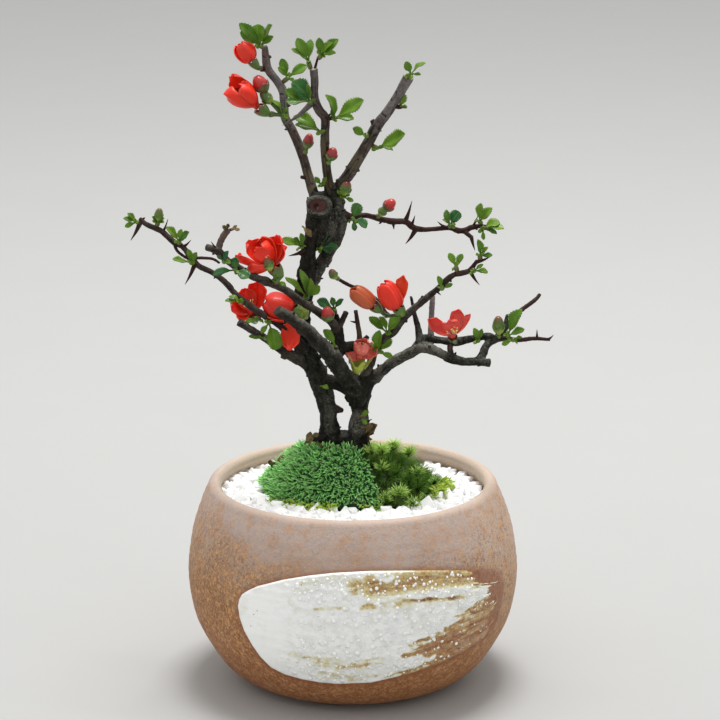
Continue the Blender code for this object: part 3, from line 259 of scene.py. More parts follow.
# Thin twigs that look other than dark red: grey and smooth, or brown
TWIG_LOOK = {
    "grey_stub": {"crown": 1.0, "grey": 1.0, "pale": 0.14}, "rising_twig": {"crown": 0.15},
    "thin_stub": {"crown": 0.6}, "long_left_up": {"scar": 0.4, "crown": 0.7, "pale": 0.06},
    "crown_a": {"scar": 0.4}, "crown_b": {"scar": 0.4},
}

# Green growth: name, hubs as (column, row, side of the wood, leaf tips as (column, row[, width to length])),
# buds as (hub number, column, row, width, length)
SPRAYS = [
    ("spray_01", [(261, 46, -1, [(240.6, 23.6, 0.4), (257, 24.5, 0.72), (275, 26, 0.55), (240, 32, 0.4),
                                 (273, 36, 0.45)]),
                  (258, 68, -1, [])], []),
    ("spray_02", [(308.5, 62, -1, [(297, 38), (310.5, 39), (291, 49)]),
                  (321, 56, -1, [(338, 39), (331, 42), (335, 52), (319, 38)])], []),
    ("spray_03", [(288, 78, -1, [(280, 59), (278, 67), (307, 65)])], []),
    ("spray_04", [(310, 102, -1, [(294, 82, 0.7), (307, 84), (285, 90), (286, 104)])], []),
    ("spray_05", [(282, 115, -1, [(272, 100), (289, 108), (266, 116)])],
     [(0, 260.5, 84, 15.5, 18), (0, 266, 97, 11, 15)]),
    ("spray_06", [(321, 132, -1, [(294, 115), (295, 126)]),
                  (334, 119, -1, [(328, 95), (365, 101), (354, 119), (330, 109)])], []),
    ("spray_07", [(411, 74, -1, [(425, 62), (406, 61), (421, 75)])], []),
    ("spray_08", [(401, 107, -1, [(402, 93, 0.7), (395, 99)])], []),
    ("spray_09", [(366, 136, -1, [(352, 128)]), (377, 148, -1, [(408, 136), (393, 150)])], []),
    ("spray_10", [(306, 152, -1, [])], [(0, 308.5, 141, 10.5, 15)]),
    ("spray_11", [(329, 163, -1, [])], [(0, 332, 154, 11.5, 13)]),
    ("spray_12", [(321, 185, -1, [(315, 177), (327, 177)])], []),
    ("spray_13", [(343, 197, -1, [(353, 202), (337, 190)])], [(0, 346, 188, 11.5, 14)]),
    ("spray_14", [(353, 219, -1, [(358, 203, 0.75), (367, 227, 0.75), (345, 223), (355, 231)])], []),
    ("spray_15", [(379, 216, -1, [])], [(0, 389.5, 205, 12, 14), (0, 383, 211, 9, 10)]),
    ("spray_16", [(450, 225, -1, [(446, 210), (460, 212, 0.8), (443, 219)])], []),
    ("spray_17", [(480, 222, -1, [(481, 203), (491, 208), (487, 213)]),
                  (483, 229, -1, [(500, 223, 0.7), (497, 233), (484, 240), (504, 229)])], []),
    ("spray_18", [(480, 256, -1, [(479, 240), (488, 247), (493, 256)])], []),
    ("spray_19", [(456, 267, -1, [(449, 253), (463, 254)])], []),
    ("spray_20", [(474, 271, -1, [(488, 272), (484, 265)])], []),
    ("spray_21", [(442, 289, -1, [(438, 276), (453, 284)])], []),
    ("spray_22", [(387, 333, -1, [(368, 318), (400, 317), (378, 317)])], []),
    ("spray_23", [(378.5, 352, -1, [(379, 331), (392, 339), (393, 357), (369, 344)])], []),
    ("spray_24", [(336, 347, -1, [(323, 330), (328, 344)])], []),
    ("spray_25", [(334, 309, -1, [(331, 297), (315, 302), (343, 299)])], [(0, 327.5, 314, 13, 14)]),
    ("spray_26", [(307, 298, -1, [(301, 270, 0.28), (320, 286, 0.6), (284, 279, 0.3), (311, 279, 0.3)])], []),
    ("spray_27", [(302, 247, -1, [(300, 233), (280, 241), (292, 238)])], []),
    ("spray_28", [(321, 248, -1, [(327, 232), (338, 246), (331, 253)])], []),
    ("spray_29", [(235, 270, -1, [(236, 258, 0.8), (249, 279, 0.75), (213, 275)]),
                  (224, 262, -1, [(228, 251), (217, 254)])], []),
    ("spray_30", [(137, 222, -1, [(123, 219), (128, 213), (125, 227)])], []),
    ("spray_31", [(158, 223, -1, [(151, 217), (164, 218)])], [(0, 159, 214, 9, 12)]),
    ("spray_32", [(179, 242, -1, [(166, 227), (182, 229), (190, 232)])], []),
    ("spray_33", [(191, 263, -1, [(188, 249), (172, 261), (198, 252)])], []),
    ("spray_34", [(241, 302, -1, [(225, 302), (229, 296)]), (258, 319, 1, [(246, 323), (264, 323)])], []),
    ("spray_35", [(269, 323, -1, [(275, 350, 0.62), (261, 333)]), (266, 338, -1, [(249, 337, 0.35)])], []),
    ("spray_36", [(277, 281, -1, [(286, 286)])], [(0, 267.5, 263, 11, 15)]),
    ("spray_37", [(478, 341, -1, [(474, 328), (482, 329)])], []),
    ("spray_38", [(508, 336, -1, [(520, 309), (525, 330)]), (513, 340, -1, [(502, 345), (522, 337)])], []),
    ("spray_39", [(499, 336, -1, [])], [(0, 498.5, 325, 12, 18)]),
    ("spray_40", [(306, 318, -1, [])], []),
    ("spray_41", [(386, 316, -1, [])], []),
    ("spray_42", [(455, 342, -1, [])], []),
    ("spray_43", [(357, 374, -1, [(352, 381, 0.4)])], []),
    ("spray_44", [(337, 278, -1, [])], [(0, 333, 274, 9, 10)]),
]

# Flowers: name, spray and hub that bear it, cup (column, row, depth from the hub), cup radius and length,
# where it faces (column, row, depth from the cup), width of its closed ball (0 when open), bulge, and petals
# as tip (column, row, depth from the cup), width and how far the face turns to the front (hollow side when
# positive)
FLOWERS = [
    ("petals_01", "spray_01", 1, (251.5, 60, -1), (2.0, 4.5), (238, 42.5, 1), 9.2, 0.3, []),
    ("petals_02", "spray_05", 0, (258, 107, -3), (2.7, 5.5), (228, 86, 0), 0, 0.2,
     [(230, 74.5, 2, 8.6, 0.55), (223.5, 93, 0.5, 8.2, -0.5), (241, 82, -3.6, 8.2, 0), (233, 90, 3.6, 8, 0)]),
    ("petals_03", "spray_36", 0, (273, 266, 1), (2.8, 6.0), (258, 246, -1), 0, 0.14,
     [(234.5, 257, -1, 7.5, -0.3), (247, 241, 1.5, 8.5, 0.3), (262, 236, 2.5, 8.5, 0.5),
      (278, 234.5, 2, 8.5, 0.5), (286, 246, 0, 7.5, 0.3), (260, 246, -4, 9, -0.3),
      (247, 272, -3, 7.5, -0.4)]),
    ("petals_05", "spray_34", 1, (252, 313, 12), (2.7, 5.0), (246, 297, -3), 0, 0.14,
     [(260, 281, 1, 8.6, 0.6), (243, 288, 1.5, 8.6, 0.6), (231, 301, 0.5, 8.2, 0.6),
      (236, 316, 0, 7.5, 0.5)]),
    ("petals_06", "spray_40", 0, (293, 311, -4), (3.6, 6.5), (260.5, 304, 0), 13.2, 0.1,
     [(289, 351, -8, 8.0, 0.95)]),
    ("petals_08", "spray_41", 0, (373, 305, -3), (2.3, 4.5), (350.5, 287.5, 0), 8.8, 0.3, []),
    ("petals_09", "spray_41", 0, (397.5, 307, -5), (2.4, 4.5), (381, 281.5, 0), 10.6, 0.1,
     [(404, 275, 0.5, 5.2, 0.8)]),
    ("petals_10", "spray_42", 0, (452.5, 336, -3), (1.9, 4.0), (451, 322, -7), 0, 0.12,
     [(427.5, 319.5, -1, 5.6, 0.7), (459.5, 309, 3, 5.8, 0.7), (470.5, 313.5, 0.5, 3.2, 0.1),
      (449.5, 320.5, -4.5, 7.2, -0.9)]),
    ("petals_11", "spray_43", 0, (359.5, 358, -4), (2.9, 7.0), (363.5, 340, -2), 0, 0.2,
     [(366, 338.5, 1, 7.5, 0.4), (378, 348, 0, 7.0, 0.5), (345, 352, -1, 6.5, 0.5), (361, 344, -4, 7, 0)]),
]

# Glaze stroke on the front: how far it reaches into the clay, its first and last column, and its upper and
# lower edge as (column, row)
GLAZE_DEPTH = 0.7
STROKE_FIRST = 237.8
STROKE_LAST = 502.6
STROKE_TOP = [
    (237.6, 606), (239, 599), (242, 594), (248, 590), (258, 585.5), (284, 579), (310, 575), (332, 572.5),
    (370, 570.5), (412, 570), (450, 569.5), (484, 570), (498, 573), (503, 584),
]
STROKE_LOW = [
    (237.6, 606), (239.5, 618), (244, 631), (252, 645.5), (260, 657), (271, 668), (285, 675), (301, 679.5),
    (320, 683), (336, 684.5), (371, 683), (408, 675), (440, 664), (465, 651), (484, 638), (496, 620),
    (503, 584),
]
# Where the brush ran dry (above 0) or left thick white (below 0): path of (column, row), half width, amount
STROKE_MARKS = [
    ([(372, 586), (402, 583), (440, 578), (468, 576), (492, 573)], 11.5, 0.72),
    ([(352, 586), (372, 586)], 8, 0.44), ([(418, 571), (450, 570), (484, 571)], 4.5, 0.62),
    ([(300, 586), (322, 580), (345, 577)], 8, 0.22), ([(354, 590), (360, 584)], 5, 0.60),
    ([(316, 609), (330, 608), (342, 608)], 2.4, 0.40), ([(362, 607), (374, 606)], 3.4, 0.52),
    ([(392, 606), (412, 602)], 3.0, 0.50), ([(404, 601), (436, 599)], 2.2, 0.82),
    ([(436, 599), (450, 598)], 1.5, 0.66), ([(450, 599), (472, 597)], 2.4, 0.85),
    ([(384, 605), (430, 601), (474, 596)], 5.5, 0.36),
    ([(290, 655), (312, 660), (334, 664), (356, 665), (380, 661)], 6.5, 0.36),
    ([(322, 674), (350, 676), (404, 673)], 5, 0.34), ([(413, 643), (429, 637)], 1.6, 0.80),
    ([(409, 646), (440, 640), (460, 631)], 3.0, 0.40),
    ([(424, 649), (440, 644), (462, 633), (482, 618)], 3.2, 1.02),
    ([(404, 655), (430, 650), (456, 641)], 3.5, 0.60), ([(440, 657), (462, 648), (482, 634)], 3.0, 0.86),
    ([(378, 576), (386, 581), (392, 577)], 2.6, -0.5), ([(410, 597), (430, 595.5), (446, 594)], 2.2, -0.35),
    ([(452, 592), (466, 588)], 2.6, -0.3), ([(440, 609), (456, 606), (468, 601)], 4.5, -1.0),
    ([(466, 602), (475, 598), (484, 593.5)], 2.6, -1.5), ([(372, 668), (402, 663), (436, 656)], 2.6, -0.55),
    ([(452, 622), (468, 614)], 1.6, -0.4), ([(428, 660), (446, 651), (464, 640)], 1.3, -0.35),
]
# Edge between the white body and the dry streaks of the stroke, as (row, column)
STROKE_EDGE = [
    (560, 505), (588, 492), (593, 485), (599, 475), (605, 467), (612, 461), (620, 457), (628, 445),
    (636, 433), (644, 424), (650, 408), (656, 420), (664, 422), (670, 404), (680, 392), (690, 390),
]
# Where raised white dots crowd: first and last column, first and last row, number, radius
STROKE_DOTS = [
    (340, 478, 573, 597, 84, 0.45), (300, 460, 600, 655, 60, 0.62), (300, 450, 655, 680, 90, 0.42),
    (290, 345, 578, 600, 30, 0.50), (425, 498, 600, 655, 46, 0.28), (460, 496, 588, 606, 30, 0.32),
]

# Leaves: share of the stalk, thickness, and width along the blade as (share, width), narrow and broad
LEAF_STALK = 0.14
LEAF_THICKNESS = 0.26
LEAF_NARROW = [(0, 0), (0.12, 0.28), (0.3, 0.68), (0.48, 0.94), (0.62, 1), (0.77, 0.84), (0.88, 0.56),
               (0.95, 0.3), (1, 0.0)]
LEAF_BROAD = [(0, 0), (0.1, 0.44), (0.28, 0.82), (0.5, 0.98), (0.7, 1), (0.86, 0.83), (0.95, 0.54), (1, 0.12)]
# Petals: thickness, and width along the petal as (share, width), open and folded
PETAL_THICKNESS = 0.30
PETAL_WIDTH = [(0, 0.24), (0.10, 0.42), (0.25, 0.72), (0.42, 0.93), (0.60, 1.0), (0.78, 0.97), (0.90, 0.82),
               (0.97, 0.58), (1.0, 0.34)]
FOLD_WIDTH = [(0, 1.2), (0.2, 1.0), (0.6, 1.0), (0.85, 0.85), (1.0, 0.5)]
# Stamens to an open flower
STAMENS = 22
# Calyx: how deep its lobes are parted, and its wall as (share of the length, width), up the outside and down
# the inside
PLAIN_CLEFT = 0.26
CALYX_WALL = [(0.0, 0.38), (0.16, 0.60), (0.38, 0.84), (0.62, 0.97), (0.82, 1.0), (1.0, 1.01),
              (1.0, 0.95), (0.82, 0.93), (0.5, 0.86), (0.2, 0.5)]
# Tint of leaves, blush of buds by spray and number
LEAF_TINTS = {"spray_04": 0.85, "spray_14": 0.95, "spray_28": 0.9, "spray_29": 1.0, "spray_32": 0.75,
              "spray_34": 0.45, "spray_35": 0.40, "spray_26": 0.66, "spray_01": 0.3, "spray_23": 0.35,
              "spray_16": 0.75, "spray_17": 0.7, "spray_25": 0.85}
BUD_BLUSH = {("spray_05", 0): 0.95, ("spray_05", 1): 0.3, ("spray_10", 0): 0.78, ("spray_11", 0): 0.82,
             ("spray_13", 0): 0.35, ("spray_15", 0): 0.95, ("spray_15", 1): 0.2, ("spray_25", 0): 0.86,
             ("spray_31", 0): 0.2, ("spray_36", 0): 0.4, ("spray_39", 0): 0.25, ("spray_44", 0): 0.34}
# Buds that don't point straight away from their stem: direction to the right and up on the front view,
# and how far before their stem they stand
BUD_WAYS = {("spray_25", 0): (-0.15, 1.0, 11.0), ("spray_44", 0): (-0.5, 0.8, 1.5)}
PETAL_TINTS = {"petals_01": 0.12, "petals_02": 0.18, "petals_03": 0.05, "petals_05": 0.10, "petals_06": 0.0,
               "petals_08": 0.52, "petals_09": 0.15, "petals_10": 0.84, "petals_11": 0.97}
# Calyxes that look other: blush, width, how deep they are parted
CALYX_LOOK = {"petals_06": (0.06, 1.2, 0.26), "petals_11": (-0.40, 1.35, 0.62),
              "petals_09": (0.16, 1.15, 0.26)}
# Lone small leaves: base and tip as (column, row, depth), width to length, tint
LONE_LEAVES = [((320.5, 386, 6.5), (328.5, 388.5, 5), 0.6, 0.6), ((360, 417, 7), (370, 413, 5), 0.55, 0.66),
               ((362, 419, 7), (367, 424, 5), 0.6, 0.66)]

# Dry bud scales: column, row, depth
DRY_SCALES = [(313, 437, 7), (311, 441, 6), (316, 444, 5), (369, 430, 8), (366, 420, 8), (362, 416, 7),
              (371, 433, 8), (322, 446, 3), (368, 440, 7), (306, 443, 8), (330, 449, 2), (365, 428, 7)]
# Dry leaves: base and tip as (column, row, depth), and how far they are brought forward
DRY_LEAVES = [
    ((302, 226, 11), (311, 238, 9), 6), ((226.5, 231, -14), (221.5, 226, -16), 0),
    ((234, 229, -14), (240, 231, -16), 0), ((227, 229, -14), (229, 223, -15), 0),
    ((231, 230, -14), (237, 226, -13), 0), ((309, 446, 7), (311, 431, 6), 0),
    ((368, 437, 8), (379, 425, 6), 0), ((366, 433, 7), (373, 423, 6), 0),
    ((270.5, 475, 12), (273, 461, 11), 0), ((272, 467, 12), (269.5, 459, 11), 0),
    ((275, 466, 12), (286.5, 456, 12), 0), ((305, 443, 7), (313, 434, 6), 0),
]
# Lamps: name, place and size in metres, power, colour
LAMPS = [("window", (-0.7, -1.0, 1.3), 0.6, 25.0, (1.0, 0.99, 0.97)),
         ("fill", (1.3, -0.9, 0.8), 0.8, 15.0, (1.0, 0.995, 0.98)),
         ("above", (0.1, 0.3, 1.7), 0.6, 29.0, (1.0, 1.0, 1.0))]
LAMP_AIM = np.array([0.0, 0.0, 0.12])


def unit(vector):
    return vector / max(np.linalg.norm(vector), TINY)


def units(vectors):
    """Rows of vectors, each brought to length one."""
    return vectors / np.maximum(np.linalg.norm(vectors, axis=-1), TINY)[..., None]


def around(count):
    """Even turns about a circle."""
    return np.arange(count) * FULL_TURN / count


def turned(turn, rise=0.0):
    """Direction at a turn about the upright."""
    return np.array([math.cos(turn), math.sin(turn), rise])


def read_off(table, values):
    """Second column of a table at values of its first."""
    first, second = zip(*table)
    return np.interp(values, first, second)


def deep(depth):
    """Depth of a branch, spread out before and behind the stems."""
    return SPREAD_FROM + (depth - SPREAD_FROM) * SPREAD


def at(column, row, depth):
    """Place in millimetres seen at a column and row of the front view, at a depth behind the bowl's axis."""
    ray = VIEW_SCALE * AHEAD + (column - VIEW_MIDDLE) * RIGHT + (VIEW_MIDDLE - row) * UP
    return EYE + ray * ((depth - EYE[1]) / ray[1])


def from_to(base, tip):
    """Places of a base on the wood and of a tip whose depth is given against it."""
    start = at(base[0], base[1], deep(base[2]))
    return start, at(tip[0], tip[1], start[1] + tip[2] - base[2])


def seen(points):
    """Column and row of the front view at which places in millimetres are seen."""
    ray = points - EYE
    depth = ray @ AHEAD
    return VIEW_MIDDLE + VIEW_SCALE * (ray @ RIGHT) / depth, VIEW_MIDDLE - VIEW_SCALE * (ray @ UP) / depth


def soft_step(value, low, high):
    share = np.clip((np.asarray(value, float) - low) / (high - low), 0, 1)
    return share * share * (3 - 2 * share)


def grain(points, size, seed=0):
    """Smooth noise from -1 to 1 at places in millimetres, with features of the given size."""
    cells = np.asarray(points, float) / np.asarray(size, float) + seed * 17.31 + 500.0
    low = np.floor(cells).astype(np.int64)
    part = cells - low
    part = part * part * (3 - 2 * part)
    total = np.zeros(len(cells))
    for corner in range(8):
        step = np.array([corner & 1, corner >> 1 & 1, corner >> 2 & 1])
        where = low + step
        mixed = (where[:, 0] * 73856093) ^ (where[:, 1] * 19349663) ^ (where[:, 2] * 83492791)
        mixed = (mixed ^ (mixed >> 13)) * 1274126177 & 0x7FFFFFFF
        value = ((mixed ^ (mixed >> 15)) & 0xFFFF) / 32767.5 - 1
        total += value * np.prod(np.where(step, part, 1 - part), 1)
    return total


def curve(points, step):
    """Smooth path through points with any extra values, in about even steps of millimetres."""
    points = np.array(points, float)
    rows = np.vstack([2 * points[0] - points[1], points, 2 * points[-1] - points[-2]])
    path = []
    for index in range(1, len(rows) - 2):
        before, start, end, after = rows[index - 1:index + 3]
        count = max(int(round(np.linalg.norm((end - start)[:3]) / step)), 1)
        for number in range(count):
            t = number / count
            path.append(0.5 * (2 * start + (end - before) * t
                               + (2 * before - 5 * start + 4 * end - after) * t * t
                               + (3 * start - before - 3 * end + after) * t ** 3))
    path.append(points[-1])
    return np.array(path)


def set_smooth(mesh, smooth):
    mesh.polygons.foreach_set("use_smooth", [smooth] * len(mesh.polygons))


def carry(mesh, **values):
    """Store values on the points of a mesh, for its material."""
    for name, value in values.items():
        mesh.attributes.new(name, "FLOAT", "POINT").data.foreach_set("value", np.asarray(value, np.float32))


def point_rows(mesh, key):
    """Places (co) or normals of a mesh's points."""
    found = np.empty(len(mesh.vertices) * 3)
    mesh.vertices.foreach_get(key, found)
    return found.reshape(-1, 3)


def search_tree(*meshes):
    """Search tree over the faces of some meshes."""
    points, faces = [], []
    for mesh in meshes:
        faces += [tuple(len(points) + corner for corner in face.vertices) for face in mesh.polygons]
        points += [tuple(vertex.co) for vertex in mesh.vertices]
    return BVHTree.FromPolygons(points, faces)


def linked(name, mesh):
    made = bpy.data.objects.new(name, mesh)
    bpy.context.scene.collection.objects.link(made)
    return made


def plain(item, name):
    """Turn an object and its modifiers into a plain mesh object, and remove the first."""
    view = bpy.context.evaluated_depsgraph_get()
    mesh = bpy.data.meshes.new_from_object(item.evaluated_get(view), preserve_all_data_layers=True,
                                           depsgraph=view)
    bpy.data.objects.remove(item)
    mesh.name = name
    return linked(name, mesh)


def joined(name, *items):
    """One object from several plain ones."""
    for item in bpy.context.view_layer.objects:
        item.select_set(item in items)
    bpy.context.view_layer.objects.active = items[0]
    bpy.ops.object.join()
    items[0].name = name
    items[0].data.name = name
    return items[0]


def dress(piece, finish):
    piece.data.materials.clear()
    piece.data.materials.append(finish)
    set_smooth(piece.data, True)


def settle(piece, slot, *nodes):
    """Let a finished piece ride on the body and stand for its CAD nodes; slot is not used."""
    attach(piece, "root")
    if nodes:
        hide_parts(*nodes)


class Body:
    """Points, faces and values per point, gathered for one piece."""

    def __init__(self):
        self.points = []
        self.faces = []
        self.parts = []
        self.total = 0

    def add(self, points, faces, **values):
        self.points.append(np.asarray(points, float))
        self.faces += [tuple(self.total + corner for corner in face) for face in faces]
        self.parts.append((self.total, len(points), values))
        self.total += len(points)

    def piece(self, name, *finishes):
        """Mesh object with its faces outward, smooth, carrying the values for its material."""
        mesh = bpy.data.meshes.new(name)
        mesh.from_pydata((np.concatenate(self.points) * MM).tolist(), [], self.faces)
        for key in sorted({key for _, _, values in self.parts for key in values}):
            column = np.zeros(self.total, np.float32)
            for start, count, values in self.parts:
                column[start:start + count] = values.get(key, 0.0)
            carry(mesh, **{key: column})
        for finish in finishes:
            mesh.materials.append(finish)
        work = bmesh.new()
        work.from_mesh(mesh)
        bmesh.ops.recalc_face_normals(work, faces=work.faces)
        work.to_mesh(mesh)
        work.free()
        set_smooth(mesh, True)
        return linked(name, mesh)


def ring_faces(count, rings):
    """Faces of a closed body of rings of points, with a cap on its first and last ring."""
    faces = []
    for low in range(0, (rings - 1) * count, count):
        high = low + count
        faces += [(low + side, low + (side + 1) % count, high + (side + 1) % count, high + side)
                  for side in range(count)]
    return faces + [tuple(reversed(range(count))), tuple(range((rings - 1) * count, rings * count))]


def grid_faces(rows, columns, closed=False):
    """Faces of a grid of points, counted row by row; the last row of a closed grid meets its first."""
    faces = []
    for row in range(rows if closed else rows - 1):
        low, high = row * columns, (row + 1) % rows * columns
        faces += [(low + column, low + column + 1, high + column + 1, high + column)
                  for column in range(columns - 1)]
    return faces


def shell_faces(rows, columns):
    """Faces of a closed thin shell: a grid, the same grid behind it and a wall along the rim."""
    behind = rows * columns
    faces = []
    for quad in grid_faces(rows, columns):
        faces += [quad, tuple(behind + corner for corner in reversed(quad))]
    rim = list(range(columns)) + [row * columns + columns - 1 for row in range(1, rows)]
    rim += [(rows - 1) * columns + column for column in range(columns - 2, -1, -1)]
    rim += [row * columns for row in range(rows - 2, 0, -1)]
    for corner, after in zip(rim, rim[1:] + rim[:1]):
        faces.append((corner, behind + corner, behind + after, after))
    return faces


def guide_for(axis):
    return RIGHT if abs(axis[0]) < 0.8 else SKY


def square_to(axis):
    """Two directions square to an axis and to each other."""
    guide = guide_for(axis)
    across = unit(guide - axis * np.dot(guide, axis))
    return across, np.cross(axis, across)


def frames(path):
    """Direction and two cross directions at each point of a path, without twist."""
    ahead = units(np.gradient(path, axis=0))
    guide = guide_for(ahead[0])
    across = []
    for direction in ahead:
        guide = unit(guide - direction * np.dot(guide, direction))
        across.append(guide)
    across = np.array(across)
    return ahead, across, np.cross(ahead, across)


def tube(body, path, radii, sides, wobble=1.0, **values):
    """Closed round body along a path; values may be one number or one for each ring."""
    path, radii = np.asarray(path, float), np.asarray(radii, float)
    _, across, beside = frames(path)
    turns = around(sides)
    wide = np.repeat(radii[:, None], sides, 1) * wobble
    rings = path[:, None, :] + wide[:, :, None] * (np.cos(turns)[None, :, None] * across[:, None, :]
                                                  + np.sin(turns)[None, :, None] * beside[:, None, :])
    spread = {key: np.repeat(np.broadcast_to(value, len(path)), sides) for key, value in values.items()}
    body.add(rings.reshape(-1, 3), ring_faces(sides, len(path)), **spread)


def sheet_body(body, grid, normals, thickness, **values):
    """Closed thin blade from a grid of points and its normals; values spread over the grid."""
    size = grid.shape[:2]
    points = np.concatenate([(grid + normals * thickness / 2).reshape(-1, 3),
                             (grid - normals * thickness / 2).reshape(-1, 3)])
    spread = {key: np.tile(np.broadcast_to(value, size).ravel(), 2) for key, value in values.items()}
    body.add(points, shell_faces(*size), **spread)


class Value:
    """A shader socket that takes part in Python arithmetic."""

    def __init__(self, finish, socket):
        self.finish = finish
        self.socket = socket

    def reckon(self, operation, *others):
        return self.finish.reckon(operation, self, *others)

    def __add__(self, other):
        return self.reckon("ADD", other)

    def __sub__(self, other):
        return self.reckon("SUBTRACT", other)

    def __rsub__(self, other):
        return self.finish.reckon("SUBTRACT", other, self)

    def __mul__(self, other):
        return self.reckon("MULTIPLY", other)

    def __truediv__(self, other):
        return self.reckon("DIVIDE", other)

    __radd__ = __add__

    def between(self, low, high):
        """0 at low and 1 at high, soft between; falling when low is the larger."""
        return self.finish.node("ShaderNodeMapRange", {"interpolation_type": "SMOOTHSTEP"},
                                {"Value": self, "From Min": low, "From Max": high})


class Finish:
    """One material. Every node but its output comes from node()."""

    def __init__(self, name):
        self.material = bpy.data.materials.new(name)
        self.material.use_nodes = True
        self.tree = self.material.node_tree
        self.tree.nodes.clear()
        self.place = self.node("ShaderNodeTexCoord", out="Object")

    def node(self, kind, settings=None, feeds=None, out=0):
        node = self.tree.nodes.new(kind)
        for key, value in (settings or {}).items():
            if key == "stops":
                while len(node.color_ramp.elements) < len(value):
                    node.color_ramp.elements.new(0.5)
                for element, (position, colour) in zip(node.color_ramp.elements, value):
                    element.position = position
                    element.color = tuple(colour) + (1.0,)
            else:
                setattr(node, key, value)
        for key, value in (feeds or {}).items():
            if isinstance(value, Value):
                self.tree.links.new(value.socket, node.inputs[key])
            elif isinstance(value, tuple) and len(value) == 3 and len(node.inputs[key].default_value) == 4:
                node.inputs[key].default_value = value + (1.0,)
            else:
                node.inputs[key].default_value = value
        return Value(self, node.outputs[out])

    def reckon(self, operation, *values):
        return self.node("ShaderNodeMath", {"operation": operation}, dict(enumerate(values)))

    def noise(self, size, detail=3.0, rough=0.5):
        """Smooth noise from 0 to 1 with features of a size in millimetres."""
        return self.node("ShaderNodeTexNoise", {}, {"Vector": self.place, "Scale": 1.0 / (size * MM),
                                                    "Detail": detail, "Roughness": rough})

    def cells(self, size):
        """Distance from the middle of scattered cells."""
        return self.node("ShaderNodeTexVoronoi", {"feature": "F1"},
                         {"Vector": self.place, "Scale": 1.0 / (size * MM)}, "Distance")

    def carried(self, *names):
        """Values that the mesh carries at each point."""
        values = [self.node("ShaderNodeAttribute", {"attribute_name": name}, out="Fac") for name in names]
        return values if len(values) > 1 else values[0]

    def mix(self, share, first, second):
        return self.node("ShaderNodeMix", {"data_type": "RGBA"}, {0: share, 6: first, 7: second}, 2)

    def lay(self, tone, *coats):
        """Colours laid over a tone one after another, each with its share."""
        for share, colour in coats:
            tone = self.mix(share, tone, colour)
        return tone

    def ramp(self, value, *stops):
        return self.node("ShaderNodeValToRGB", {"stops": stops}, {"Fac": value})

    def part(self, axis):
        """One part of the place, in millimetres."""
        return self.node("ShaderNodeSeparateXYZ", {}, {0: self.place}, axis) / MM

    def bump(self, height, depth, strength=1.0, below=None):
        feeds = {"Strength": strength, "Distance": depth * MM, "Height": height}
        if below is not None:
            feeds["Normal"] = below
        return self.node("ShaderNodeBump", {}, feeds)

    def done(self, soft=None, **feeds):
        """Finished material; soft is the share of light under the skin, and its reach in each colour."""
        feeds = {key.replace("_", " "): value for key, value in feeds.items()}
        if soft:
            feeds.update({"Subsurface Weight": soft[0], "Subsurface Radius": soft[1],
                          "Subsurface Scale": 1.0})
        shader = self.node("ShaderNodeBsdfPrincipled", {}, feeds)
        output = self.tree.nodes.new("ShaderNodeOutputMaterial")
        self.tree.links.new(shader.socket, output.inputs["Surface"])
        return self.material


def clay_finish():
    """Unglazed, speckled stoneware, more orange toward the foot, greyer toward the lip, paler inside; the
    grey-pink toward the lip and the quieter speckle of the upper middle are partly painted sheen.
    """
    clay = Finish("stoneware clay")
    side, height = clay.part(0), clay.part(2)
    cloud, patch, blotch = clay.noise(17), clay.noise(5.5, 4, 0.6), clay.noise(2.9, 3, 0.65)
    spots, grains, fine = clay.noise(1.7, 2, 0.6), clay.noise(0.95, 2, 0.7), clay.noise(0.5, 2, 0.6)
    inside, halo = clay.carried("inside", "halo")
    level = (height + cloud * 36 - 18 + side * 0.13) / 92
    # Grey-pink toward the lip: partly the clay's tone, partly painted sheen.
    tone = clay.ramp(level, (0.0, (0.270, 0.085, 0.020)), (0.25, (0.290, 0.105, 0.024)),
                     (0.45, (0.300, 0.145, 0.050)), (0.66, (0.365, 0.245, 0.175)),
                     (0.85, (0.44, 0.355, 0.32)), (1.0, (0.46, 0.37, 0.325)))
    # Quieter speckle over the upper middle: partly painted sheen that washes the speckle out.
    calm_and_sheen = (height + cloud * 30 - 15 - side.reckon("ABSOLUTE") * 0.55).between(34, 60)
    loud = 1 - (1 - height.between(8, 40)) * 0.5
    crowd = (patch.between(0.30, 0.62) * 0.6 + 0.5) * (1 - calm_and_sheen * 0.6) * loud
    lip = height.between(86.8, 88.6)
    tone = clay.lay(
        tone,
        (side.between(38, 70) * height.between(20, 50) * 0.35, (0.60, 0.43, 0.29)),
        (patch.between(0.48, 0.66) * (0.6 - calm_and_sheen * 0.25), (0.44, 0.205, 0.080)),
        (blotch.between(0.48, 0.62) * (0.40 - calm_and_sheen * 0.25), (0.43, 0.225, 0.105)),
        ((1 - blotch).between(0.50, 0.64) * (0.42 - calm_and_sheen * 0.27), (0.215, 0.100, 0.058)),
        (inside * 0.85, (0.52, 0.42, 0.335)),
        (spots.between(0.53, 0.62) * crowd * 0.8, (0.58, 0.30, 0.115)),
        (grains.between(0.57, 0.66) * (0.62 - calm_and_sheen * 0.42) * loud, (0.66, 0.42, 0.21)),
        ((1 - grains).between(0.57, 0.67) * (0.6 - calm_and_sheen * 0.48) * loud, (0.125, 0.048, 0.022)),
        ((1 - spots).between(0.57, 0.68) * crowd * (0.55 - calm_and_sheen * 0.35), (0.15, 0.060, 0.030)),
        (fine.between(0.63, 0.71) * (0.6 - calm_and_sheen * 0.3), (0.76, 0.62, 0.46)),
        (lip * (0.12 + patch.between(0.35, 0.6) * 0.30), (0.56, 0.46, 0.38)),
        (halo * 0.6, (0.235, 0.068, 0.028)))
    relief = clay.bump(spots, 0.25, 0.5, clay.bump(grains + fine * 0.5, 0.22, 0.75))
    return clay.done(Base_Color=tone, Roughness=0.50 + grains * 0.26, Normal=relief, Specular_IOR_Level=0.42)


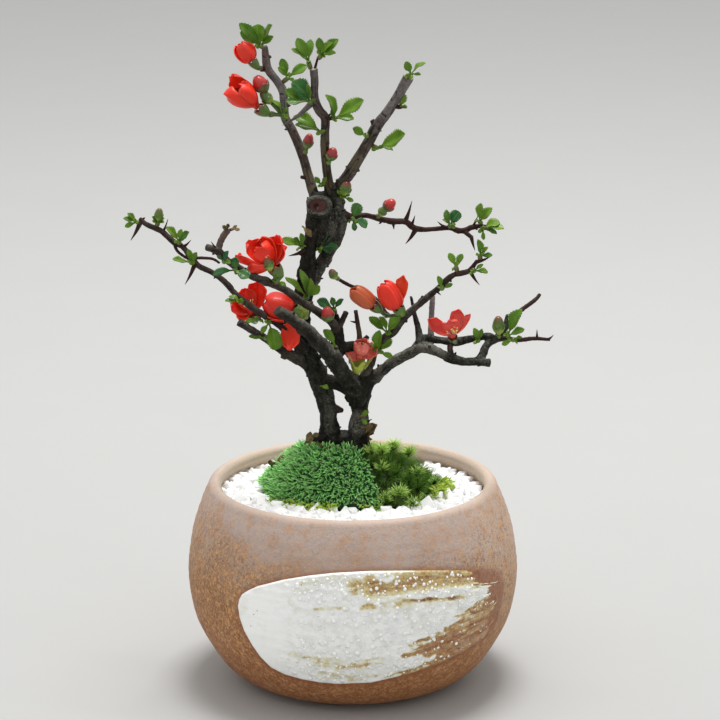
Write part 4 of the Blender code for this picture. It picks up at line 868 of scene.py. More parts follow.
def glaze_finish():
    """Thick white glaze that turns ochre and brown where the brush ran dry."""
    glaze = Finish("white ash glaze")
    crumb, sway = glaze.noise(1.1, 3, 0.6), glaze.noise(4.5, 2)
    cloud, grit = glaze.noise(7), glaze.noise(0.9, 2, 0.6)
    cover, speck, lumpy, shadow = glaze.carried("cover", "speck", "lumpy", "shadow")
    lumps = glaze.cells(3.0).between(0.46, 0.06) * sway.between(0.36, 0.52)
    lumps = (lumps + glaze.cells(1.9).between(0.42, 0.08) * (1 - sway).between(0.42, 0.60) * 0.7) * lumpy
    cover = cover + (crumb - 0.5) * 0.30
    white, dry = cover.between(0.62, 0.85), 1 - cover.between(0.45, 0.72)
    high = glaze.part(2).between(38, 52)
    pits = glaze.cells(3.4).between(0.09, 0.05) * glaze.noise(9, 1).between(0.5, 0.56)
    tone = glaze.lay(
        glaze.ramp(cover, (0.0, (0.20, 0.068, 0.018)), (0.18, (0.33, 0.170, 0.052)),
                   (0.34, (0.50, 0.340, 0.125)),
                   (0.50, (0.60, 0.475, 0.215)), (0.68, (0.74, 0.71, 0.50)), (0.84, (0.94, 0.95, 0.935))),
        (cloud.between(0.50, 0.70) * high * white * 0.55, (0.70, 0.73, 0.56)),
        (cloud.between(0.55, 0.75) * 0.25, (0.72, 0.74, 0.66)),
        # Painted shade: grey between the glaze lumps. Painted highlight: whiter on the lump domes.
        ((1 - lumps) * lumpy * white * (0.10 + sway.between(0.60, 0.35) * 0.24), (0.56, 0.585, 0.575)),
        (lumps * (0.08 + white * 0.85), (0.98, 0.985, 0.975)),
        (shadow * 0.15, (0.34, 0.32, 0.26)),
        (grit.between(0.58, 0.66) * dry * 0.7, (0.78, 0.60, 0.26)),
        ((1 - grit).between(0.54, 0.64) * dry * 0.5, (0.19, 0.070, 0.022)),
        (dry * (1 - high) * 0.5, (0.34, 0.125, 0.030)),
        (pits * 0.85, (0.14, 0.09, 0.05)),
        (speck, (0.95, 0.95, 0.93)))
    relief = glaze.bump(crumb * 0.5 - pits + lumps * 1.5, 0.46, 0.8)
    return glaze.done(Base_Color=tone, Roughness=0.32 - speck * 0.12 + cloud * 0.12, Normal=relief,
                      Coat_Weight=0.4, Coat_Roughness=0.10)


def marble_finish():
    stone = Finish("white marble chips")
    cloud = stone.noise(2.5)
    tone = stone.mix(stone.carried("shade") * 0.6 + cloud * 0.4, (0.93, 0.935, 0.93), (0.97, 0.97, 0.965))
    relief = stone.bump(stone.noise(0.9, 2, 0.6), 0.08, 0.4)
    return stone.done((0.2, (0.003, 0.003, 0.003)), Base_Color=tone, Roughness=0.5 + cloud * 0.2,
                      Normal=relief)


def moss_finish(name, root, middle, tip, dry):
    moss = Finish(name)
    along, shade = moss.carried("tip", "shade")
    tone = moss.lay(
        moss.ramp(along, (0.0, root), (0.45, middle), (1.0, tip)),
        (moss.noise(6, 2).between(0.35, 0.7) * 0.2, root),
        (shade.between(0.80, 0.96) * 0.75, dry),
        (shade.between(0.25, 0.0) * 0.45, root))
    return moss.done((0.08, (0.0008, 0.0016, 0.0004)), Base_Color=tone, Roughness=0.62)


def bark_finish():
    """Near-black rough bark on old wood, dark red on twigs, grey-brown on the crown, pale where cut; grey and
    pale also carry painted highlights on the lit sides of limbs.
    """
    bark = Finish("quince bark")
    girth, ridge, crown, grey = bark.carried("girth", "ridge", "crown", "grey")
    cut, scar, pale = bark.carried("cut", "scar", "pale")
    cloud, fine, drift = bark.noise(5, 4, 0.6), bark.noise(0.8, 3, 0.65), bark.noise(9, 2)
    light = cloud * 0.55 + fine * 0.45
    young = bark.ramp(cloud, (0.30, (0.020, 0.012, 0.010)), (0.55, (0.042, 0.029, 0.023)),
                      (0.75, (0.095, 0.074, 0.062)))
    old = bark.ramp(light, (0.36, (0.005, 0.0045, 0.0032)), (0.52, (0.012, 0.0115, 0.008)),
                    (0.63, (0.040, 0.042, 0.031)), (0.74, (0.105, 0.110, 0.088)))
    brown = bark.ramp(cloud * 0.7 + fine * 0.3, (0.34, (0.018, 0.014, 0.010)), (0.52, (0.048, 0.038, 0.028)),
                      (0.70, (0.115, 0.096, 0.078)))
    silver = bark.ramp(cloud * 0.6 + fine * 0.4, (0.34, (0.055, 0.045, 0.044)), (0.50, (0.145, 0.130, 0.130)),
                       (0.66, (0.26, 0.23, 0.215)))
    smooth = bark.lay(brown, (drift.between(0.42, 0.58) * 0.8, (0.095, 0.074, 0.040)), (grey, silver),
                      ((1 - drift).between(0.54, 0.66) * 0.45, (0.075, 0.034, 0.030)))
    dots = bark.cells(2.6).between(0.22, 0.10) * fine.between(0.40, 0.55) * (0.35 + crown * 0.65)
    # Grey on old wood also holds painted highlight on the sky-facing sides of limbs.
    old_grey_and_highlight = grey * (1 - crown)
    tone = bark.lay(
        young,
        (girth.between(1.1, 3.6), old),
        (crown, smooth),
        ((1 - girth.between(0.6, 1.6)) * (1 - crown) * 0.75, (0.034, 0.010, 0.008)),
        # Near-black in bark cracks and the scar hole: partly painted shade in these recesses.
        ((1 - ridge).between(0.4, 0.95) * 0.8, (0.003, 0.0026, 0.002)),
        (dots * 0.5, (0.22, 0.18, 0.15)),
        (old_grey_and_highlight * light.between(0.36, 0.60) * 0.85, (0.125, 0.126, 0.102)),
        (old_grey_and_highlight * fine.between(0.57, 0.67) * 0.6, (0.25, 0.26, 0.22)),
        (cut * 0.85, bark.mix(fine, (0.010, 0.008, 0.006), (0.034, 0.028, 0.022))),
        (scar * 0.8, bark.mix(fine, (0.040, 0.014, 0.013), (0.17, 0.075, 0.066))),
        # Pale also holds painted highlight on the lit sides of a few limbs.
        (pale, bark.mix(fine, (0.24, 0.21, 0.19), (0.58, 0.54, 0.50))))
    return bark.done(Base_Color=tone, Roughness=0.52 + fine * 0.28 - crown * 0.12,
                     Normal=bark.bump(fine + cloud * 0.5, 0.30, 0.8), Specular_IOR_Level=0.14)


def leaf_finish():
    """Glossy green leaf with a pale middle rib and side veins."""
    leaf = Finish("quince leaf")
    across, along, tint = leaf.carried("across", "along", "tint")
    side = across.reckon("ABSOLUTE")
    veins = (along * 7.0 - side * 2.4).reckon("FRACT")
    vein = (veins.between(0.0, 0.10) - veins.between(0.10, 0.24)) * (1 - side.between(0.8, 1.0)) * 0.9
    rib = 1 - side.between(0.02, 0.12)
    cloud = leaf.noise(3.5)
    tone = leaf.lay(
        leaf.ramp(tint, (0.0, (0.036, 0.105, 0.007)), (0.35, (0.098, 0.200, 0.010)),
                  (0.65, (0.140, 0.250, 0.016)),
                  (0.85, (0.016, 0.098, 0.028)), (1.0, (0.009, 0.078, 0.033))),
        (cloud.between(0.35, 0.7) * 0.25, (0.15, 0.26, 0.022)),
        ((1 - cloud).between(0.45, 0.7) * 0.24, (0.018, 0.055, 0.006)),
        (rib * 0.35, (0.19, 0.29, 0.07)),
        (vein * 0.2, (0.17, 0.27, 0.055)),
        (side.between(0.88, 1.0) * 0.35, (0.075, 0.055, 0.014)),
        ((1 - along.between(0.0, 0.14)) * 0.6, (0.14, 0.11, 0.03)))
    return leaf.done((0.12, (0.0006, 0.0015, 0.0003)), Base_Color=tone, Roughness=0.32 + cloud * 0.16,
                     Normal=leaf.bump(cloud * 0.4 - vein - rib, 0.14, 0.6), Coat_Weight=0.14,
                     Coat_Roughness=0.14, Specular_IOR_Level=0.16)


def petal_finish():
    """Scarlet petal with soft veins, deeper at its foot; tint turns it orange and faded, or pink."""
    petal = Finish("scarlet petal")
    across, along, tint = petal.carried("across", "along", "tint")
    weave = petal.node("ShaderNodeCombineXYZ", {}, {0: across * 8, 1: along * 1.4})
    streaks = petal.node("ShaderNodeTexNoise", {"noise_dimensions": "2D"},
                         {"Vector": weave, "Scale": 1.0, "Detail": 3.0})
    cloud = petal.noise(4, 2)
    tone = petal.lay(
        petal.ramp(tint, (0.0, (0.70, 0.013, 0.005)), (0.3, (0.82, 0.027, 0.007)),
                   (0.55, (0.44, 0.105, 0.034)),
                   (0.8, (0.56, 0.040, 0.034)), (1.0, (0.72, 0.165, 0.135))),
        (streaks.between(0.42, 0.72) * 0.175, (0.86, 0.10, 0.028)),
        ((1 - along.between(0.0, 0.4)) * 0.3575, (0.24, 0.004, 0.005)),
        (across.reckon("ABSOLUTE").between(0.80, 1.0) * 0.175, (0.88, 0.16, 0.08)),
        (cloud.between(0.5, 0.75) * 0.15, (0.84, 0.08, 0.03)))
    return petal.done((0.25, (0.003, 0.0006, 0.0003)), Base_Color=tone, Roughness=0.36 + cloud * 0.16,
                      Normal=petal.bump(streaks + cloud, 0.12, 0.45), Coat_Weight=0.10, Coat_Roughness=0.12,
                      Specular_IOR_Level=0.32)


def bud_finish():
    """Bud and calyx skin: red where blush is 1, green where it is low, yellow at 0."""
    skin = Finish("bud and calyx skin")
    cloud = skin.noise(1.6)
    tone = skin.lay(
        skin.ramp(skin.carried("blush") + (cloud - 0.5) * 0.3, (0.0, (0.40, 0.46, 0.075)),
                  (0.13, (0.115, 0.210, 0.026)), (0.40, (0.062, 0.125, 0.020)), (0.58, (0.165, 0.045, 0.026)),
                  (0.80, (0.27, 0.024, 0.022)), (1.0, (0.44, 0.024, 0.020))),
        (skin.noise(0.5, 2).between(0.58, 0.7) * 0.25, (0.30, 0.15, 0.09)))
    return skin.done(Base_Color=tone, Roughness=0.36, Normal=skin.bump(cloud, 0.1, 0.5), Coat_Weight=0.25,
                     Coat_Roughness=0.15, Specular_IOR_Level=0.35)


def stamen_finish():
    thread = Finish("stamen")
    tone = thread.mix(thread.carried("tip").between(0.7, 0.9), (0.72, 0.55, 0.36), (0.80, 0.60, 0.16))
    return thread.done(Base_Color=tone, Roughness=0.55, Normal=thread.bump(thread.noise(0.3), 0.05, 0.4))


def dry_finish():
    scale = Finish("dry bud scale")
    cloud = scale.noise(1.4)
    tone = scale.ramp(cloud, (0.3, (0.040, 0.024, 0.008)), (0.55, (0.125, 0.080, 0.022)),
                      (0.75, (0.30, 0.22, 0.065)))
    return scale.done(Base_Color=tone, Roughness=0.6, Normal=scale.bump(cloud, 0.2, 0.7))


def soil_finish():
    """Dark crumbs, with a dark green film where the mound is overgrown."""
    soil = Finish("potting soil")
    crumbs = soil.cells(1.8)
    tone = soil.lay(
        soil.ramp(crumbs + soil.noise(5) * 0.4, (0.15, (0.018, 0.011, 0.007)), (0.5, (0.060, 0.036, 0.022)),
                  (0.9, (0.14, 0.085, 0.05))),
        (soil.part(2).between(77, 80) * 0.92, soil.mix(crumbs, (0.005, 0.014, 0.002), (0.024, 0.062, 0.008))))
    return soil.done(Base_Color=tone, Roughness=0.92, Normal=soil.bump(crumbs, 0.8, 0.9))


def net_finish():
    net = Finish("black drainage net")
    cloud = net.noise(3)
    tone = net.mix(cloud, (0.012, 0.012, 0.013), (0.035, 0.035, 0.036))
    return net.done(Base_Color=tone, Roughness=0.45 + cloud * 0.2, Normal=net.bump(net.noise(0.8), 0.08, 0.5))


def floor_finish():
    board = Finish("pale floor")
    tone = board.mix(board.noise(60), (0.40, 0.40, 0.392), (0.415, 0.415, 0.407))
    return board.done(Base_Color=tone, Roughness=0.7)


class Grower:
    """A Geometry Nodes tree with named inputs and one generic node method."""

    def __init__(self, name, finish, **sizes):
        self.tree = bpy.data.node_groups.new(name, "GeometryNodeTree")
        self.tree.interface.new_socket("Geometry", in_out="INPUT", socket_type="NodeSocketGeometry")
        self.tree.interface.new_socket("Geometry", in_out="OUTPUT", socket_type="NodeSocketGeometry")
        self.sizes = {}
        for key, value in sizes.items():
            kind = "NodeSocketInt" if isinstance(value, int) else "NodeSocketFloat"
            socket = self.tree.interface.new_socket(key, in_out="INPUT", socket_type=kind)
            self.sizes[key] = (socket.identifier, value)
        self.entry = self.tree.nodes.new("NodeGroupInput")
        self.finish = finish

    def given(self, name):
        return self.entry.outputs[name]

    def node(self, kind, settings=None, feeds=None, out=0):
        node = self.tree.nodes.new(kind)
        for key, value in (settings or {}).items():
            setattr(node, key, value)
        for key, value in (feeds or {}).items():
            if isinstance(value, bpy.types.NodeSocket):
                self.tree.links.new(value, node.inputs[key])
            else:
                node.inputs[key].default_value = value
        return node.outputs[out]

    def reckon(self, operation, first, second=0.0):
        return self.node("ShaderNodeMath", {"operation": operation}, {0: first, 1: second})

    def vector(self, operation, first, second):
        return self.node("ShaderNodeVectorMath", {"operation": operation}, {0: first, 1: second})

    def scaled(self, vector, amount):
        return self.node("ShaderNodeVectorMath", {"operation": "SCALE"}, {0: vector, "Scale": amount})

    def combined(self, **parts):
        return self.node("ShaderNodeCombineXYZ", {}, {key.upper(): value for key, value in parts.items()})

    def chance(self, low, high, seed):
        return self.node("FunctionNodeRandomValue", {"data_type": "FLOAT"},
                         {2: low, 3: high, "Seed": seed}, 1)

    def scatter(self, low, high, seed):
        return self.node("FunctionNodeRandomValue", {"data_type": "FLOAT_VECTOR"},
                         {0: low, 1: high, "Seed": seed})

    def aimed(self, way):
        """Rotation that brings Z to a direction."""
        return self.node("FunctionNodeAlignRotationToVector", {"axis": "Z"}, {"Vector": way})

    def store(self, geometry, name, value, domain="POINT"):
        return self.node("GeometryNodeStoreNamedAttribute", {"data_type": "FLOAT", "domain": domain},
                         {"Geometry": geometry, "Name": name, "Value": value})

    def points(self, settings, feeds):
        """Points strewn over the bed, and their normals."""
        feeds = {"Mesh": self.given("Geometry"), "Seed": self.given("Seed"), **feeds}
        strewn = self.node("GeometryNodeDistributePointsOnFaces", settings, feeds)
        return strewn, strewn.node.outputs["Normal"]

    def spaced_points(self, most):
        """Points over the bed that keep the given spacing, with at most so many to the square metre."""
        return self.points({"distribute_method": "POISSON"},
                           {"Density Max": most, "Distance Min": self.given("Spacing")})

    def put(self, points, shape, rotation, scale, pick=False):
        return self.node("GeometryNodeInstanceOnPoints", {}, {
            "Points": points, "Instance": shape, "Rotation": rotation, "Scale": scale, "Pick Instance": pick})

    def end(self, growth, seed):
        """Give each grown thing its shade, and make everything real in the finish."""
        growth = self.store(growth, "shade", self.chance(0.0, 1.0, seed), "INSTANCE")
        real = self.node("GeometryNodeRealizeInstances", {}, {"Geometry": growth})
        done = self.node("GeometryNodeSetMaterial", {}, {"Geometry": real, "Material": self.finish})
        last = self.tree.nodes.new("NodeGroupOutput")
        self.tree.links.new(done, last.inputs[0])
        return self

    def grow(self, name, places, faces, combs=0.0, **changes):
        """Run the tree over a bed and return the plain mesh object that grew there."""
        mesh = bpy.data.meshes.new(name)
        mesh.from_pydata((places * MM).tolist(), [], faces)
        combs = np.broadcast_to(combs, places.shape)
        mesh.attributes.new("comb", "FLOAT_VECTOR", "POINT").data.foreach_set("vector", combs.ravel())
        if mesh.polygons[0].normal.z < 0:
            mesh.flip_normals()
        bed = linked(name, mesh)
        step = bed.modifiers.new("grow", "NODES")
        step.node_group = self.tree
        for key, (identifier, value) in self.sizes.items():
            step[identifier] = changes.get(key, value)
        return plain(bed, name)


def blade(grower, steps, top, belly):
    """Three-sided blade along Z that swells in its middle, leans over and carries its share as tip."""
    length = grower.given("Length")
    rod = grower.node("GeometryNodeMeshCone", {"fill_type": "NGON"}, {
        "Vertices": 3, "Side Segments": steps, "Fill Segments": 1, "Radius Top": top,
        "Radius Bottom": grower.given("Width"), "Depth": length})
    spot = grower.node("GeometryNodeInputPosition")
    share = grower.reckon("DIVIDE", grower.node("ShaderNodeSeparateXYZ", {}, {0: spot}, 2), length)
    over = grower.reckon("MULTIPLY", grower.reckon("MULTIPLY", share, share), grower.given("Bend"))
    rod = grower.store(rod, "tip", share)
    swell = grower.reckon("MULTIPLY", share, grower.reckon("SUBTRACT", 1.0, share))
    wide = grower.reckon("ADD", grower.reckon("MULTIPLY", swell, belly * 4.0), 1.0 - belly)
    narrow = grower.reckon("SUBTRACT", wide, 1.0) if belly < 1.0 else 0.0
    flat = grower.vector("MULTIPLY", spot, (1.0, 1.0, 0.0))
    shift = grower.vector("ADD", grower.scaled(flat, narrow), grower.combined(x=over))
    return grower.node("GeometryNodeSetPosition", {}, {"Geometry": rod, "Offset": shift})


def carpet_grower(finish):
    """Short plump shoots, combed outward over a bed."""
    grower = Grower("moss carpet", finish, Density=1.75e6, Length=0.0036, Width=0.00040, Bend=0.0012,
                    Comb=1.25, Scatter=0.8, Seed=3)
    points, away = grower.points({}, {"Density": grower.given("Density")})
    shoot = blade(grower, 4, grower.given("Width"), 0.78)
    comb = grower.node("GeometryNodeInputNamedAttribute", {"data_type": "FLOAT_VECTOR"}, {"Name": "comb"})
    comb = grower.scaled(comb, grower.given("Comb"))
    loose = grower.scaled(grower.scatter((-1, -1, -0.6), (1, 1, 0.9), 11), grower.given("Scatter"))
    way = grower.vector("ADD", grower.vector("ADD", away, comb), loose)
    spin = grower.node("FunctionNodeRotateRotation", {"rotation_space": "LOCAL"}, {
        "Rotation": grower.aimed(way), "Rotate By": grower.combined(z=grower.chance(0.0, ANY_TURN, 5))})
    return grower.end(grower.put(points, shoot, spin, grower.chance(0.65, 1.2, 7)), 9)


def tuft_grower(finish):
    """Loose tufts of long needles that stand out from a short stem like a star."""
    grower = Grower("haircap tufts", finish, Spacing=0.0046, Length=0.0055, Width=0.00022, Bend=0.0014,
                    Needles=78, Stem=0.0016, Seed=5)
    points, away = grower.spaced_points(4e5)
    needle = blade(grower, 2, 0.00004, 1.0)
    height = grower.reckon("MULTIPLY", grower.chance(0.0, 1.0, 21), grower.given("Stem"))
    stem = grower.node("GeometryNodePoints", {}, {
        "Count": grower.given("Needles"), "Position": grower.combined(z=height)})
    turn, spread = grower.chance(0.0, ANY_TURN, 22), grower.chance(0.3, 1.9, 23)
    fan = grower.combined(x=grower.reckon("MULTIPLY", grower.reckon("COSINE", turn), spread),
                          y=grower.reckon("MULTIPLY", grower.reckon("SINE", turn), spread), z=1.0)
    tuft = grower.put(stem, needle, grower.aimed(fan), grower.chance(0.6, 1.15, 24))
    tuft = grower.node("GeometryNodeRealizeInstances", {}, {"Geometry": tuft})
    way = grower.vector("ADD", away, grower.scatter((-0.35, -0.35, 0.1), (0.35, 0.35, 0.6), 25))
    return grower.end(grower.put(points, tuft, grower.aimed(way), grower.chance(0.65, 1.1, 26)), 27)


def chip_shapes(count):
    """Crushed blocks with softly broken edges, about a millimetre in radius."""
    group = bpy.data.collections.new("chip shapes")
    dice = random.Random("chips")
    for number in range(count):
        work = bmesh.new()
        for corner in range(8):
            place = np.array([(corner >> axis & 1) * 2 - 1 for axis in range(3)]) * 0.60
            place = place + np.array([dice.uniform(-0.24, 0.24) for _ in range(3)])
            work.verts.new(tuple(place * MM))
        hull = bmesh.ops.convex_hull(work, input=work.verts)
        bmesh.ops.delete(work, geom=list(hull["geom_interior"]), context="VERTS")
        bmesh.ops.dissolve_limit(work, angle_limit=0.35, verts=work.verts[:], edges=work.edges[:])
        bmesh.ops.bevel(work, geom=work.edges[:], offset=0.10 * MM, segments=1, affect="EDGES")
        bmesh.ops.recalc_face_normals(work, faces=work.faces)
        mesh = bpy.data.meshes.new("chip_%d" % number)
        work.to_mesh(mesh)
        work.free()
        group.objects.link(bpy.data.objects.new("chip_%d" % number, mesh))
    return group


def gravel_grower(finish, shapes):
    grower = Grower("gravel chips", finish, Spacing=0.0039, Size=3.7, Seed=2)
    points, _ = grower.spaced_points(6e5)
    chips = grower.node("GeometryNodeCollectionInfo", {}, {
        "Collection": shapes, "Separate Children": True, "Reset Children": True})
    size = grower.scaled(grower.scatter((0.78, 0.78, 0.70), (1.15, 1.1, 1.0), 31), grower.given("Size"))
    spin = grower.scatter((0, 0, 0), (ANY_TURN, ANY_TURN, ANY_TURN), 32)
    return grower.end(grower.put(points, chips, spin, size, True), 33)


def oval(centre, half, turn, spread, ripple=1.0):
    """Place on an oval, moved outward by spread."""
    return np.array([centre[0] + (half[0] * ripple + spread) * math.cos(turn),
                     centre[1] + (half[1] * ripple + spread) * math.sin(turn)])


def mound_edge(turn, spread):
    ripple = 1 + 0.02 * math.sin(5 * turn + 1) + 0.015 * math.sin(9 * turn)
    return oval(MOUND_CENTRE, MOUND_HALF, turn, spread, ripple)


def stump_edge(turn, spread):
    return oval(STUMP_CENTRE, STUMP_HALF, turn, spread)


def mound_height(place):
    reach = math.hypot((place[0] - MOUND_CENTRE[0]) / MOUND_HALF[0],
                       (place[1] - MOUND_CENTRE[1]) / MOUND_HALF[1])
    return GRAVEL_LEVEL + 0.4 + MOUND_RISE * max(1 - reach ** MOUND_POWER, 0)


def smooth_profile(points, step):
    return curve([(radius, 0.0, height) for radius, height in points], step)[:, [0, 2]]


def make_pot():
    """Thrown bowl with a rounded lip, faint throwing rings and three drain holes."""
    sides = 240
    lip = []
    for share in np.arange(1, 8) / 8:
        middle = BOWL_OUTER[-1][0] * (1 - share) + BOWL_INNER[0][0] * share
        lip.append((middle, LIP_FOOT + (LIP_TOP - LIP_FOOT) * math.sin(math.pi * share) ** 0.75))
    profile = np.vstack([[FOOT_EDGE], smooth_profile(BOWL_OUTER, 1.7), lip, smooth_profile(BOWL_INNER, 2.2)])
    turns = around(sides)
    out = np.tile(np.stack([np.cos(turns), np.sin(turns), np.zeros(sides)], 1), (len(profile), 1))
    radius, height = np.repeat(profile, sides, 0).T
    wall = out * radius[:, None] + SKY * height[:, None]
    marks = 0.10 * np.sin(height * FULL_TURN / RING_STEP + grain(wall, 30, 4) * 2.5)
    marks = marks * soft_step(height, 20, 60)
    swell = (marks + 0.16 * grain(wall, 11, 5) + 0.07 * grain(wall, 3.5, 6)) * soft_step(height, 1.0, 6.0)
    body = Body()
    body.add(wall + out * swell[:, None], ring_faces(sides, len(profile)))
    pot = body.piece("pot_clay")
    drills = Body()
    for angle in DRAIN_HOLE_ANGLES:
        centre = turned(math.radians(angle)) * DRAIN_HOLE_OFFSET
        tube(drills, [centre - SKY * 3.0, centre + SKY * 12.0], [DRAIN_HOLE_RADIUS] * 2, 40)
    drill = drills.piece("drills")
    step = pot.modifiers.new("holes", "BOOLEAN")
    step.operation = "DIFFERENCE"
    step.solver = "EXACT"
    step.object = drill
    pot = plain(pot, "pot_clay")
    bpy.data.objects.remove(drill)
    return pot


def near_path(columns, rows, path):
    """Distance in columns from a path on the front view."""
    best = np.full(len(columns), 1e9)
    for start, end in zip(np.array(path[:-1], float), np.array(path[1:], float)):
        span = end - start
        share = ((columns - start[0]) * span[0] + (rows - start[1]) * span[1]) / max(span @ span, 1e-6)
        share = np.clip(share, 0, 1)
        away = np.hypot(columns - start[0] - span[0] * share, rows - start[1] - span[1] * share)
        best = np.minimum(best, away)
    return best


def stroke_margin(columns, rows):
    """Distance in millimetres from the edge of the stroke, positive inside it."""
    best = near_path(columns, rows, STROKE_TOP + STROKE_LOW[::-1])
    inside = (rows > read_off(STROKE_TOP, columns)) & (rows < read_off(STROKE_LOW, columns))
    inside &= (columns > STROKE_TOP[0][0]) & (columns < STROKE_TOP[-1][0])
    return np.where(inside, best, -best) * WIDTH_SCALE


def dryness(columns, rows, ragged, lump):
    """How far the brush had run dry at places of the stroke; 0 is thick glaze, above 1.2 there is none."""
    dry = np.zeros(len(columns))
    for path, half, amount in STROKE_MARKS:
        part = amount * np.exp(-(near_path(columns + 3 * lump, rows + 0.8 * lump, path) / half) ** 2 * 0.9)
        dry = np.where(amount > 0, np.maximum(dry, part), dry + part)
    past = columns - read_off(STROKE_EDGE, rows)
    worn = 0.70 * soft_step(past + ragged * 9, -4, 5) + 0.14 * soft_step(past + ragged * 14, 14, 34)
    dry = np.maximum(dry, worn + np.minimum(dry, 0))
    dry = dry + ragged * (0.10 + np.where(rows < 594, 0.30, 0.62) * np.clip(dry * 1.5, 0, 1))
    upper_end = soft_step(columns, 452, 492) * (1 - soft_step(rows, 578, 592))
    lower_end = soft_step(past, 8, 52) * soft_step(rows, 640, 664)
    gone = np.maximum.reduce([
        soft_step(dry, 1.12, 1.25), soft_step(upper_end + ragged * 0.8, 0.45, 0.7),
        soft_step(columns + ragged * 16, 486, 496), soft_step(lower_end + ragged * 0.7, 0.55, 0.75)])
    return dry, gone


def on_bowl(pot, columns, rows):
    """Places on the outside of the bowl seen at columns and rows, and the way out there."""
    tree = search_tree(pot.data)
    places, normals = [], []
    for column, row in zip(columns, rows):
        hit = tree.ray_cast(tuple(EYE * MM), tuple(unit(at(column, row, 0.0) - EYE)))[0]
        place = np.array(hit) / MM
        places.append(place)
        normals.append(unit(unit(place * np.array([1.0, 1.0, 0.0])) + SKY * ((place[2] - 45) / 90)))
    return np.array(places), np.array(normals)


def make_glaze(pot, finish):
    """Brush stroke of thick glaze on the front, drying out in streaks to the right, with raised dots."""
    wide, high = 300, 112
    share = np.linspace(0, 1, wide)
    columns = STROKE_FIRST + (STROKE_LAST - STROKE_FIRST) * (share ** 1.25 * 0.55 + share * 0.45)
    top, low = read_off(STROKE_TOP, columns), read_off(STROKE_LOW, columns)
    across = np.linspace(0, 1, high)
    cols = np.repeat(columns[:, None], high, 1).ravel()
    rows = (top[:, None] + (low - top)[:, None] * across[None, :]).ravel()
    level = np.zeros(len(cols))
    margin = stroke_margin(cols, rows)
    flow = np.stack([cols / 24, np.tile(across, wide) * 52, level], 1)
    streak = 0.6 * grain(flow, 1.0, 1) + 0.4 * grain(flow * np.array([2.2, 1.9, 1.0]), 1.0, 2)
    flat = np.stack([cols, rows, level], 1) * WIDTH_SCALE
    lump, crumb = grain(flat, 3.2, 3), grain(flat, 1.3, 4)
    dry, gone = dryness(cols, rows, 0.62 * streak + 0.32 * crumb + 0.2 * lump, lump)
    cover = np.clip(1.0 - dry, -0.3, 1)
    bead = (1 - soft_step(np.abs(margin - 1.0), 0.0, 1.0)) * (1 - soft_step(cols, 400, 470))
    lumpy = soft_step(cols, 262, 320)
    height = (0.16 + 0.46 * soft_step(cover, 0.2, 0.8) + 0.16 * lump + 0.08 * bead + 0.07 * streak
              + 0.30 * crumb * lumpy)
    height = height * soft_step(margin, 0.0, 0.9) - 0.02 - 0.75 * gone
    height[margin < 0.02] = -0.25
    places, normals = on_bowl(pot, cols, rows)
    front = places + normals * height[:, None]
    body = Body()
    shadow = (np.clip(-crumb - 0.1, 0, 1) * soft_step(cols, 262, 330)).reshape(wide, high)
    grid, tilt = front.reshape(wide, high, 3), normals.reshape(wide, high, 3)
    dice = random.Random("dots")
    for first, last, upper, lower, count, size in STROKE_DOTS:
        for _ in range(count):
            column = int(np.searchsorted(columns, dice.uniform(first, last)))
            lane = (dice.uniform(upper, lower) - top[column]) / (low[column] - top[column])
            row = int(lane * (high - 1))
            if lane < 0.03 or lane > 0.97 or gone[column * high + row] > 0.5:
                continue
            spot, up = grid[column, row], tilt[column, row]
            radius = size * dice.uniform(0.65, 1.25) * dice.choice((1.0, 1.0, 1.3))
            part = (slice(max(column - 8, 0), column + 9), slice(max(row - 8, 0), row + 9))
            away = np.linalg.norm(grid[part] - (spot - SKY * radius * 0.5), axis=2) / radius
            shadow[part] = np.maximum(shadow[part], 1 - soft_step(away, 1.0, 2.1))
            lift = radius * dice.uniform(0.38, 0.62)
            path = [spot - up * 0.5, spot - up * 0.05, spot + up * lift * 0.45, spot + up * lift * 0.85,
                    spot + up * lift]
            tube(body, path, [radius * share for share in (1.25, 1.2, 0.92, 0.52, 0.12)], 10, cover=1.0,
                 speck=np.array([0.0, 0.1, 0.8, 1.0, 1.0]))
    body.add(np.concatenate([front, places - normals * GLAZE_DEPTH]), shell_faces(wide, high),
             cover=np.tile(cover, 2), speck=0.0, shadow=np.tile(shadow.ravel(), 2),
             lumpy=np.tile(lumpy * soft_step(margin, 0.5, 2.0), 2))
    return body.piece("glaze_stroke", finish)


def add_halo(pot):
    """Store on the clay how near each front point is to the glaze, and which points lie inside the bowl."""
    corners = point_rows(pot.data, "co") / MM
    margin = stroke_margin(*seen(corners))
    outer = read_off([place[::-1] for place in BOWL_OUTER], corners[:, 2])
    carry(pot.data, halo=(1 - soft_step(-margin, 0.1, 1.7)) * (corners[:, 1] < 0),
          inside=soft_step(outer - np.hypot(corners[:, 0], corners[:, 1]), 2.0, 4.0))


def bed_surface(first, last, steps, shares, lift, pull=0.4):
    """Top of the mound from one direction round to another: places, faces and comb of its shoots."""
    places, combs = [], []
    for step in range(steps + 1):
        turn = first + (last - first) * step / steps
        for share in shares:
            spot = stump_edge(turn, 0.3) * (1 - share) + mound_edge(turn, -pull) * share
            places.append((spot[0], spot[1], mound_height(spot) - MOSS_DROP * soft_step(share, 0.55, 1.0)))
            combs.append(unit(turned(turn, -0.35)) * (0.35 + 0.75 * share))
    places = np.array(places)
    places[:, 2] += lift * (grain(places, 7.5, 2) + 0.5 * grain(places, 3.2, 7)) - 0.9
    return places, grid_faces(steps + 1, len(shares)), np.array(combs)


def cushion(name, places, faces, finish, foot):
    """Closed body under a bed."""
    count = len(places)
    low = places.copy()
    low[:, 2] = foot
    edges = [pair for face in faces for pair in zip(face, face[1:] + face[:1])]
    paired = set(edges)
    walls = [(end, start, count + start, count + end) for start, end in edges if (end, start) not in paired]
    body = Body()
    under = [tuple(count + corner for corner in reversed(face)) for face in faces]
    body.add(np.concatenate([places, low]), faces + under + walls, tip=0.12, shade=0.5)
    return body.piece(name, finish)


